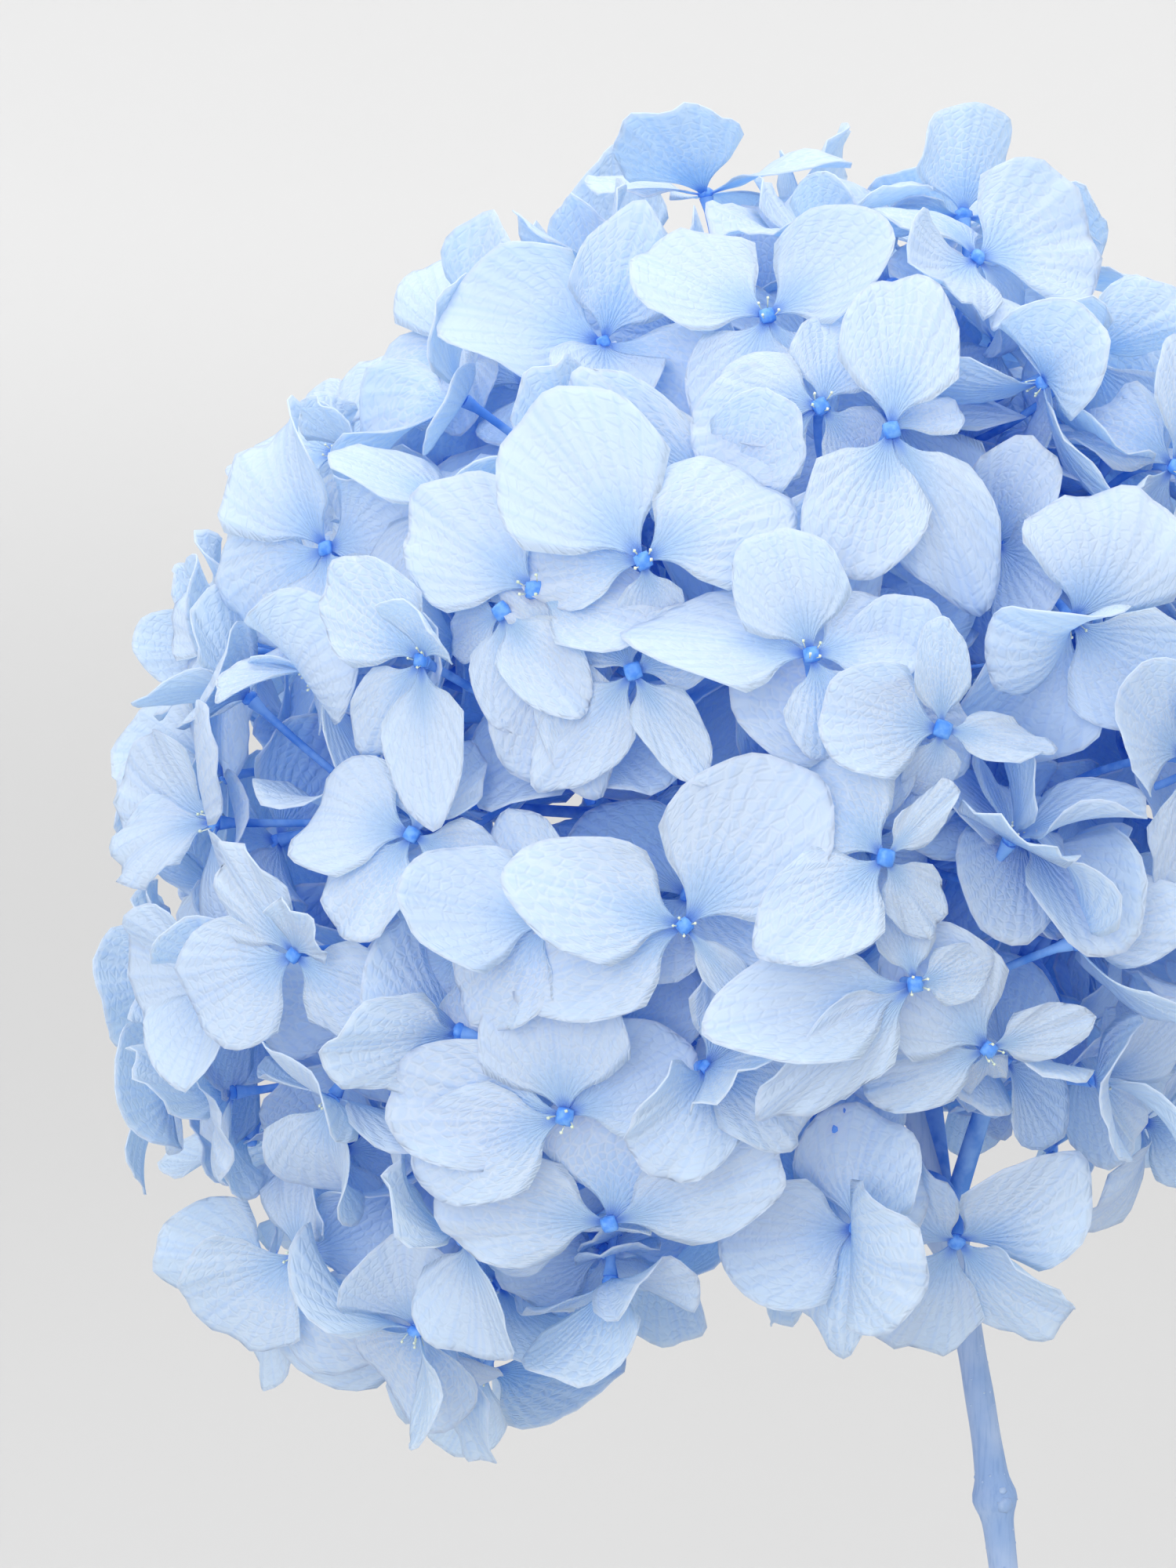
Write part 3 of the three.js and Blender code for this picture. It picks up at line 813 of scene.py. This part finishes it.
for place in packed:
    place["branch"] = min(BRANCHES, key=lambda n: gap_to(n, place["foot"]))
branches = {}
for name in BRANCHES:
    mine = [p for p in packed if p["branch"] == name]
    joint = UPPER_JOINT if name in UPPER_BRANCHES else LOWER_JOINT
    hub = joint + HUB_REACH * (np.mean([p["foot"] for p in mine], axis=0) - joint)
    run = np.linalg.norm(hub - joint)
    rise = unit(hub - joint + np.array([0, 0, BRANCH_RISE * run]))
    limb = bezier([joint + 2.0 * rise, joint + 0.5 * run * rise, hub], 14)
    branches[name] = {"hub": hub, "limb": limb, "twigs": []}
    for p in mine:
        inward = unit(p["foot"] - (p["centre"] - TWIG_BEND * p["axis"]))
        elbow = p["foot"] + inward * 0.35 * np.linalg.norm(p["foot"] - hub)
        branches[name]["twigs"].append(bezier([hub, elbow, p["foot"] + 0.1 * inward], 12))
print({n: len(b["twigs"]) for n, b in branches.items()})

# %% [markdown]
# An added floret's stalk bends back under it and runs inwards. It joins the nearest twig that lies
# further in than its own bend, so no stalk runs back out again.

# %% Join each added floret to the nearest twig
JOIN_BEND = 12
longest_join = 0
for place in fills:
    bend = place["centre"] - JOIN_BEND * place["axis"]
    best = None
    for name, b in branches.items():
        for twig in b["twigs"]:
            for k in range(1, 11):
                away = np.linalg.norm(twig[k] - bend)
                toward = (twig[k] - bend) @ unit(UPPER_JOINT - bend)
                if toward > 0.5 * away and (best is None or away < best[0]):
                    best = (away, name, twig[k])
    longest_join = max(longest_join, best[0])
    place["branch"], place["foot"] = best[1], best[2]
print("longest way from a bend to its twig in mm:", round(float(longest_join)))

# %% [markdown]
# ## Building the florets
# Every floret is its four sepals, a little four-lobed bud in the middle, and its stalk. The sepals
# are all different, so mesh code makes each one. The deeper florets get a coarser grid, since little
# of them shows.

# %% Sepals of the packed florets, one piece for each node
FINE_GRID = (14, 18)
COARSE_GRID = (9, 12)
# Shares of the head's outline where the painted shade starts, and over which it reaches its full
# value.
PAINTED_SHADE_START = 1.04
PAINTED_SHADE_SPAN = 0.34


def painted_shade_mask(points):
    """How deep points lie in the head, which masks the painted shade: 0 at its outer surface and 1 at
    the deepest florets.
    """
    local = (points - HEAD_CENTRE) @ LEAN
    share = np.linalg.norm(local / HEAD_HALF_AXES, axis=1)
    return np.clip((PAINTED_SHADE_START - share) / PAINTED_SHADE_SPAN, 0, 1)


def add_sepals(basket, place, grid):
    for angle, sepal in place["sepals"]:
        sheet, fan, reach = sepal_sheet(sepal, *grid)
        points, faces = thin_body(set_in_place(sheet, place, angle), SEPAL_THICKNESS)
        values = np.stack([fan.ravel(), reach.ravel(), np.full(fan.size, sepal["tint"])], axis=-1)
        values = np.column_stack([np.concatenate([values, values]), painted_shade_mask(points)])
        basket.add(points, faces, values)


for place in packed:
    basket = Basket()
    add_sepals(basket, place, FINE_GRID)
    piece = basket.piece(place["name"] + "_petals", SEPAL)
    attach(piece, "root")
    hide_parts(place["name"])
print("floret pieces:", len(packed), "points in the last one:", basket.count)

# %% [markdown]
# The added florets have no node of their own. They are gathered into one piece for each branch and
# layer, which keeps every piece small enough to export whole.

# %% Sepals of the added florets, gathered by branch and layer
for label, layer, grid in (("filling_florets", fills[:outer_fills], FINE_GRID),
                           ("inner_florets", fills[outer_fills:], COARSE_GRID)):
    for name in BRANCHES:
        mine = [p for p in layer if p["branch"] == name]
        if not mine:
            continue
        basket = Basket()
        for place in mine:
            add_sepals(basket, place, grid)
        piece = basket.piece(name.replace("branch", label), SEPAL)
        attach(piece, "root")
print("added florets:", len(fills))

# %% [markdown]
# ## Geometry Nodes for what repeats and what follows a line
# Two small trees do the rest. One grows a round stalk along every line of a mesh, as thick as the
# line's radius says at each point. The other stands a copy of a small shape on each point, facing
# the way that the point says. Both end in Realize Instances and Set Material, and the result is kept
# as a plain mesh.

# %% Helpers for trees
def new_tree(name, sockets):
    """A Geometry Nodes tree with its input and output nodes. Sockets are (name, kind) pairs."""
    tree = bpy.data.node_groups.new(name, "GeometryNodeTree")
    tree.interface.new_socket("Geometry", in_out="INPUT", socket_type="NodeSocketGeometry")
    for label, kind in sockets:
        tree.interface.new_socket(label, in_out="INPUT", socket_type=kind)
    tree.interface.new_socket("Geometry", in_out="OUTPUT", socket_type="NodeSocketGeometry")
    return tree, tree.nodes.new("NodeGroupInput").outputs


def finish_tree(tree, geometry, finish):
    real = node(tree, "GeometryNodeRealizeInstances", i0=geometry).outputs[0]
    smooth_mesh = node(tree, "GeometryNodeSetShadeSmooth", Geometry=real).outputs[0]
    done = node(tree, "GeometryNodeSetMaterial", Geometry=smooth_mesh, Material=finish).outputs[0]
    tree.links.new(done, tree.nodes.new("NodeGroupOutput").inputs[0])


def evaluated(name, carrier, tree, settings):
    """The plain mesh that a tree makes of a carrier mesh, as an object of its own."""
    made = bpy.data.objects.new(name, carrier)
    bpy.context.scene.collection.objects.link(made)
    modifier = made.modifiers.new("tree", "NODES")
    modifier.node_group = tree
    for item in tree.interface.items_tree:
        if item.in_out == "INPUT" and item.name in settings:
            modifier[item.identifier] = settings[item.name]
    made.update_tag()
    graph = bpy.context.evaluated_depsgraph_get()
    mesh = bpy.data.meshes.new_from_object(made.evaluated_get(graph), depsgraph=graph)
    made.modifiers.clear()
    made.data = mesh
    mesh.name = name
    return made


print("node trees before the first one is built:", len(bpy.data.node_groups))

# %% [markdown]
# ### A tree for stalks
# A stalk is round and changes thickness along its line. The carrier mesh is only edges. Mesh to
# Curve makes them curves, and Curve to Mesh sweeps a circle along them, scaled at each point.

# %% Tree that grows stalks along lines
stalk_tree, inputs = new_tree("stalks_along_lines", [
    ("Sides", "NodeSocketInt"), ("Thickness", "NodeSocketFloat"), ("Finish", "NodeSocketMaterial")])
curve = node(stalk_tree, "GeometryNodeMeshToCurve", Mesh=inputs["Geometry"]).outputs[0]
radius = node(stalk_tree, "GeometryNodeInputNamedAttribute", {"data_type": "FLOAT"},
              Name="radius").outputs[0]
thickness = node(stalk_tree, "ShaderNodeMath", TIMES, i0=radius, i1=inputs["Thickness"]).outputs[0]
ring = node(stalk_tree, "GeometryNodeCurvePrimitiveCircle", Resolution=inputs["Sides"],
            Radius=1.0).outputs[0]
rod = node(stalk_tree, "GeometryNodeCurveToMesh", Curve=curve, Profile_Curve=ring, Scale=thickness,
           Fill_Caps=True).outputs[0]
finish_tree(stalk_tree, rod, inputs["Finish"])


def grow_stalks(name, rods, sides, finish):
    """Round stalks along lines. Rods are (points, radii) pairs in mm."""
    points = np.concatenate([line for line, _ in rods]) * MM
    radii = np.concatenate([radius for _, radius in rods]) * MM
    edges, start = [], 0
    for line, _ in rods:
        edges += [(k, k + 1) for k in range(start, start + len(line) - 1)]
        start += len(line)
    carrier = bpy.data.meshes.new(name)
    carrier.from_pydata(points.tolist(), edges, [])
    carrier.attributes.new("radius", "FLOAT", "POINT").data.foreach_set("value", radii)
    return evaluated(name, carrier, stalk_tree, {"Sides": sides, "Thickness": 1.0, "Finish": finish})


print(stalk_tree.name, "nodes:", len(stalk_tree.nodes))

# %% [markdown]
# ### A tree for copies
# Buds, stamens, pores and scars repeat by the hundred. Each carrier point says which way its copy
# faces and how large it is, and the tree turns each copy at random about its own axis.

# %% Tree that stands copies on points
COPY_SEED = 7
copy_tree, inputs = new_tree("copies_on_points", [
    ("Shape", "NodeSocketObject"), ("Size", "NodeSocketFloat"), ("Seed", "NodeSocketInt"),
    ("Finish", "NodeSocketMaterial")])
shape = node(copy_tree, "GeometryNodeObjectInfo", Object=inputs["Shape"]).outputs["Geometry"]
turn = node(copy_tree, "FunctionNodeRandomValue", i2=0.0, i3=6.283, Seed=inputs["Seed"]).outputs[1]
spun = node(copy_tree, "FunctionNodeAxisAngleToRotation", Axis=(0, 0, 1), Angle=turn).outputs[0]
way_out = node(copy_tree, "GeometryNodeInputNamedAttribute", {"data_type": "FLOAT_VECTOR"},
               Name="facing").outputs[0]
aimed = node(copy_tree, "FunctionNodeAlignRotationToVector", {"axis": "Z"}, Rotation=spun,
             Vector=way_out).outputs[0]
own_size = node(copy_tree, "GeometryNodeInputNamedAttribute", {"data_type": "FLOAT"},
                Name="size").outputs[0]
size = node(copy_tree, "ShaderNodeMath", TIMES, i0=own_size, i1=inputs["Size"]).outputs[0]
copies = node(copy_tree, "GeometryNodeInstanceOnPoints", Points=inputs["Geometry"], Instance=shape,
              Rotation=aimed, Scale=size).outputs[0]
finish_tree(copy_tree, copies, inputs["Finish"])


def stand_copies(name, shape, places, finish):
    """Copies of a shape on points. Places are (point in mm, facing, size) rows."""
    carrier = bpy.data.meshes.new(name)
    carrier.from_pydata([tuple(np.asarray(p) * MM) for p, _, _ in places], [], [])
    facings = np.array([f for _, f, _ in places], dtype=float).ravel()
    sizes = np.array([size for _, _, size in places], dtype=float)
    carrier.attributes.new("facing", "FLOAT_VECTOR", "POINT").data.foreach_set("vector", facings)
    carrier.attributes.new("size", "FLOAT", "POINT").data.foreach_set("value", sizes)
    made = evaluated(name, carrier, copy_tree,
                     {"Shape": shape, "Size": 1.0, "Seed": COPY_SEED, "Finish": finish})
    print(name, "copies:", len(places), "faces:", len(made.data.polygons))
    return made


print(copy_tree.name, "nodes:", len(copy_tree.nodes))

# %% [markdown]
# ### Buds and stamens
# The bud in a floret's middle is a dome of four lobes about 2.5 mm across. In some it has opened, and
# a ring of pale stamens stands round it. Both are repeated on hundreds of florets, so each has only
# a few dozen faces.

# %% Shapes that are copied
def dome(radius, low, high, rings, sides, lobe=0.0):
    """A closed dome or ball round +Z, between two heights in mm."""
    rise = np.linspace(-0.5, 0.5, rings) * math.pi
    turn = np.linspace(0, 2 * math.pi, sides, endpoint=False)
    wide = radius * (1 + lobe * np.cos(4 * turn))
    height = (low + high) / 2 + (high - low) / 2 * np.sin(rise)
    points = [(math.cos(rise[k]) * wide[i] * math.cos(turn[i]),
               math.cos(rise[k]) * wide[i] * math.sin(turn[i]),
               height[k]) for k in range(1, rings - 1) for i in range(sides)]
    south, north = len(points), len(points) + 1
    points += [(0, 0, low), (0, 0, high)]
    after = [(i + 1) % sides for i in range(sides)]
    faces = [(k * sides + i, k * sides + after[i], (k + 1) * sides + after[i], (k + 1) * sides + i)
             for k in range(rings - 3) for i in range(sides)]
    faces += [(south, after[i], i) for i in range(sides)]
    faces += [(north, (rings - 3) * sides + i, (rings - 3) * sides + after[i]) for i in range(sides)]
    return np.array(points, dtype=float), faces


def shape_object(name, bodies):
    points, faces, start = [], [], 0
    for body_points, body_faces in bodies:
        points += (np.asarray(body_points) * MM).tolist()
        faces += [tuple(i + start for i in face) for face in body_faces]
        start += len(body_points)
    mesh = bpy.data.meshes.new(name)
    mesh.from_pydata(points, [], faces)
    return bpy.data.objects.new(name, mesh)


def stamen(turn, lean, height):
    """A filament of three sides with a small anther on its tip."""
    out = np.array([math.cos(turn), math.sin(turn), 0])
    base, tip = 0.85 * out + (0, 0, 0.7), (0.85 + lean) * out + (0, 0, height)
    side = np.array([-out[1], out[0], 0]) * 0.09
    ends = [end + offset for end in (base, tip) for offset in (side, -side, 0.12 * out)]
    faces = [(0, 1, 4, 3), (1, 2, 5, 4), (2, 0, 3, 5), (2, 1, 0), (3, 4, 5)]
    knob, knob_faces = dome(0.27, -0.05, 0.5, 4, 4)
    return [(np.array(ends), faces), (knob + tip, knob_faces)]


BUD_SHAPE = shape_object("bud", [dome(1.25, -0.6, 1.45, 6, 12, 0.14)])
CROWN_SHAPE = shape_object("stamen_crown", [b for k in range(4) for b in stamen(
    1.57 * k + 0.3 * (k % 3), 0.5 + 0.2 * (k % 2), 1.9 + 0.3 * (k % 3))])
print("faces: bud", len(BUD_SHAPE.data.polygons), "crown", len(CROWN_SHAPE.data.polygons))

# %% Buds and stamens on every floret
OPEN_SHARE = 0.45
florets = packed + fills
hearts = [(p["centre"], p["axis"], rng.uniform(0.85, 1.1)) for p in florets]
open_hearts = [h for h in hearts[:len(packed) + outer_fills] if rng.random() < OPEN_SHARE]
for name, shape, places, finish in (("floret_buds", BUD_SHAPE, hearts, BUD),
                                    ("floret_stamens", CROWN_SHAPE, open_hearts, ANTHER)):
    piece = stand_copies(name, shape, places, finish)
    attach(piece, "root")

# %% [markdown]
# ### Stalks and branches
# Each branch forks into twigs, and each twig carries the thin bent stalks of its florets. A stalk is
# about 1.2 mm thick and flares where it joins the floret.

# %% Stalks, one piece for each branch
STALK_STRAIGHT = 12.5
STALK_SIDES = 9


def floret_stalk(place):
    bend = place["centre"] - STALK_STRAIGHT * place["axis"]
    line = bezier([place["centre"] - 0.3 * place["axis"], bend, place["foot"]], 12)
    return line, np.linspace(0.62, 0.55, 13) + 0.5 * np.exp(-np.arange(13) * 1.6)


for name, b in branches.items():
    rods = [(b["limb"], np.linspace(1.75, 1.25, 15))]
    rods += [(twig, np.linspace(1.15, 0.62, 13)) for twig in b["twigs"]]
    rods += [floret_stalk(p) for p in florets if p["branch"] == name]
    piece = grow_stalks(name + "_stalks", rods, STALK_SIDES, STALK)
    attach(piece, "root")
    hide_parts(name)
    print(name, "stalks:", len(rods), "faces:", len(piece.data.polygons))

# %% [markdown]
# ### Fertile flowers
# Deep between the showy florets sit the real flowers: small clusters of round buds on thread-thin
# stalks, a darker blue than the sepals. They branch from the same twigs.

# %% Clusters of fertile buds
BUDS_IN_CLUSTER = 13
# Degrees round from the front, degrees up, and depth in mm of each cluster.
CLUSTERS = [(10, -29, 9), (-1, -8, 15), (-20, 12, 17), (9, 14, 16), (-8, 45, 14), (35, 20, 15),
            (-45, -25, 14), (80, 10, 15), (130, 30, 15), (180, 5, 15), (-120, 20, 15), (-150, -15, 15)]
bud_places, threads = [], []
for around, up, depth in CLUSTERS:
    root_point, normal = head_point(facing(around, up), depth + 9)
    for _ in range(BUDS_IN_CLUSTER):
        spread = unit(normal + np.array([rng.gauss(0, 0.5) for _ in range(3)]))
        tip = root_point + rng.uniform(5, 9) * spread
        threads.append((bezier([root_point, root_point + 3 * normal, tip], 4), np.full(5, 0.28)))
        bud_places.append((tip, spread, rng.uniform(0.55, 0.8)))
    twig_ends = [t[k] for b in branches.values() for t in b["twigs"] for k in range(4, 12)]
    near = min(twig_ends, key=lambda q: np.linalg.norm(q - root_point))
    middle = (near + root_point) / 2 - 2 * normal
    threads.append((bezier([near, middle, root_point], 6), np.full(7, 0.6)))
piece = stand_copies("fertile_buds", BUD_SHAPE, bud_places, FERTILE)
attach(piece, "root")
piece = grow_stalks("fertile_stalks", threads, 6, STALK)
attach(piece, "root")

# %% [markdown]
# ### The woody stem
# The main stem is a slightly crooked rod 4.6 mm thick. It swells where each pair of leaves was, and
# at the two joints of the head, and its cut end is flat with a pale pith. It follows a line, so the
# stalks' tree grows it too, with more sides and a radius that changes at every step.

# %% Main stem
STEM_STEPS = 170
SCAR_PLACES = (0.33, 0.76)
STEM_RADIUS = 2.3
TOP_RADIUS = 1.7
STEM_SIDES = 28


def swelling(t, spot, rise, width):
    return rise * np.exp(-((t - spot) / width) ** 2)


along = np.linspace(0, 1, STEM_STEPS + 1)
stem_line = bezier([(0, 0, 0), (0, 0, 85), (-4, 2, 160), LOWER_JOINT], STEM_STEPS)
stem_radii = STEM_RADIUS + 0.05 * np.sin(41 * along) + 0.04 * np.sin(97 * along + 1)
for spot in SCAR_PLACES:
    stem_radii += swelling(along, spot, 1.0, 0.012) + swelling(along, spot, 0.35, 0.035)
stem_radii += swelling(along, 1, 1.6, 0.02)
top_line = bezier([LOWER_JOINT, UPPER_JOINT], 30)
top_along = np.linspace(0, 1, 31)
top_radii = TOP_RADIUS + swelling(top_along, 0, 2.0, 0.12) + swelling(top_along, 1, 1.3, 0.12)
stem = grow_stalks("woody_stem", [(stem_line, stem_radii), (top_line, top_radii)], STEM_SIDES, WOOD)
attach(stem, "root")
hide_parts("main_stem")
print("stem faces:", len(stem.data.polygons))

# %% [markdown]
# ### Marks on the bark
# Bark carries lenticels, small raised pores about half a millimetre across, and each swelling has
# two leaf scars on opposite sides with a sleeping bud above. The same tree of copies stands them on
# the bark.

# %% Lenticels and leaf scars
PORE_SHAPE = shape_object("pore", [dome(1.0, -0.5, 0.5, 5, 6)])


def on_bark(k, turn, out=0.0):
    """A point on the bark at a step of the stem's line, and the way out from it."""
    way = np.array([math.cos(turn), math.sin(turn), 0.0])
    return stem_line[k] + way * (stem_radii[k] + out), way


PORES = 150
pores = []
for _ in range(PORES):
    point, way = on_bark(rng.randrange(4, STEM_STEPS - 6), rng.uniform(0, 6.283), -0.02)
    pores.append((point, way, rng.uniform(0.16, 0.28)))
scars = []
for i, spot in enumerate(SCAR_PLACES):
    for side in (0, math.pi):
        k = round(spot * STEM_STEPS)
        point, way = on_bark(k, side + 1.571 * i + 0.4, -0.35)
        scars.append((point, way, 1.5))
        point, way = on_bark(k + 2, side + 1.571 * i + 0.4, 0.0)
        scars.append((point, way + np.array([0, 0, 1.2]), 0.75))
for name, places in (("bark_lenticels", pores), ("leaf_scars", scars)):
    piece = stand_copies(name, PORE_SHAPE, places, SCAR)
    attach(piece, "root")

# %% [markdown]
# ## Stage, light and camera
# A pale floor sweeps up all round into a wall, like a studio cove, so no horizon shows from any
# side. A sheet bent from one profile and spun round makes it. The light is a bright white sky, which
# reaches in between the sepals, with a large soft lamp at the front left and one overhead to give
# the sepals a bright side.

# %% Floor
FLAT_RADIUS = 1.2
SWEEP = 1.6


def cove():
    """A round floor whose edge sweeps up into a wall, in metres."""
    profile = [(0.0, 0.0), (FLAT_RADIUS, 0.0)]
    profile += [(FLAT_RADIUS + SWEEP * math.sin(a), SWEEP - SWEEP * math.cos(a))
                for a in np.linspace(0.1, 1.5, 12)]
    profile += [(FLAT_RADIUS + SWEEP, 2.6)]
    sides = 64
    points = [(0, 0, 0)]
    for r, z in profile[1:]:
        points += [(r * math.cos(2 * math.pi * k / sides), r * math.sin(2 * math.pi * k / sides), z)
                   for k in range(sides)]
    faces = [(0, 1 + k, 1 + (k + 1) % sides) for k in range(sides)]
    for ring in range(len(profile) - 2):
        a, b = 1 + ring * sides, 1 + (ring + 1) * sides
        faces += [(a + k, b + k, b + (k + 1) % sides, a + (k + 1) % sides) for k in range(sides)]
    mesh = bpy.data.meshes.new("studio_floor")
    mesh.from_pydata(points, [], faces)
    mesh.polygons.foreach_set("use_smooth", np.ones(len(faces), dtype=bool))
    made = bpy.data.objects.new("studio_floor", mesh)
    bpy.context.scene.collection.objects.link(made)
    return made


floor = cove()
paper, tree = new_material("matt_studio_paper")
place = node(tree, "ShaderNodeTexCoord").outputs["Object"]
height = node(tree, "ShaderNodeSeparateXYZ", i0=place).outputs[2]
# Painted shade: the floor is painted darker than the wall, from #a8a8a8 on the floor to #c5c5c5 half a
# metre up.
rise = node(tree, "ShaderNodeMapRange", SOFT_STEP, i0=height, i1=0.0, i2=0.5).outputs[0]
shade = node(tree, "ShaderNodeMix", BLEND, i0=rise, i6=linear("#a8a8a8"), i7=linear("#c5c5c5")).outputs[2]
skin = node(tree, "ShaderNodeBsdfPrincipled", Base_Color=shade, Roughness=0.9,
            Emission_Color=linear("#f2f2f2"), Emission_Strength=0.12)
node(tree, "ShaderNodeOutputMaterial", Surface=skin.outputs[0])
floor.data.materials.append(paper)
print("floor radius in m:", FLAT_RADIUS + SWEEP)

# %% Light
SKY_STRENGTH = 2.06
world = bpy.data.worlds.new("soft_sky")
world.use_nodes = True
sky = world.node_tree.nodes["Background"]
sky.inputs["Color"].default_value = linear("#f6f6f6")
sky.inputs["Strength"].default_value = SKY_STRENGTH
bpy.context.scene.world = world


def soft_light(name, place, aim, size, power):
    lamp = bpy.data.lights.new(name, "AREA")
    lamp.shape = "DISK"
    lamp.size = size
    lamp.energy = power
    made = bpy.data.objects.new(name, lamp)
    made.location = place
    made.rotation_euler = (aim - Vector(place)).to_track_quat("-Z", "Y").to_euler()
    bpy.context.scene.collection.objects.link(made)
    print(name, "lamp:", power, "W, from", round((Vector(place) - aim).length, 2), "m")


HEAD = Vector(HEAD_CENTRE) * MM
soft_light("window", (-0.45, -1.25, 0.62), HEAD, 1.0, 9.0)
soft_light("overhead", (0.1, 0.1, 1.6), HEAD, 1.2, 5.0)
# Light goes through many thin sepals here, so its paths may be longer than usual.
bpy.context.scene.cycles.max_bounces = 20
bpy.context.scene.cycles.diffuse_bounces = 12
bpy.context.scene.cycles.transmission_bounces = 20

# %% [markdown]
# ### Camera
# An 85 mm portrait lens stands close to the head and looks a little down on it, as one looks at a
# flower in a vase. A view gamma of 1.2 opens the shades, as a bright airy studio picture does.

# %% Camera
camera = bpy.data.cameras.new("camera")
camera.sensor_width = 36
camera.lens = 85
eye = bpy.data.objects.new("camera", camera)
bpy.context.scene.collection.objects.link(eye)
TARGET = Vector((-0.0736, -0.006, 0.2868))
TILT = math.radians(6)
DISTANCE = 0.566
back = Vector((0, -math.cos(TILT), math.sin(TILT)))
eye.location = TARGET + back * DISTANCE
eye.rotation_euler = (-back).to_track_quat("-Z", "Y").to_euler()
bpy.context.scene.camera = eye
view = bpy.context.scene.view_settings
view.view_transform = "Standard"
view.exposure = -0.1
view.gamma = 1.2
print("camera stands", DISTANCE, "m from its target, tilted down", round(math.degrees(TILT)), "degrees")

# %% [markdown]
# ## Sizes
# The looks must not change the object's size.
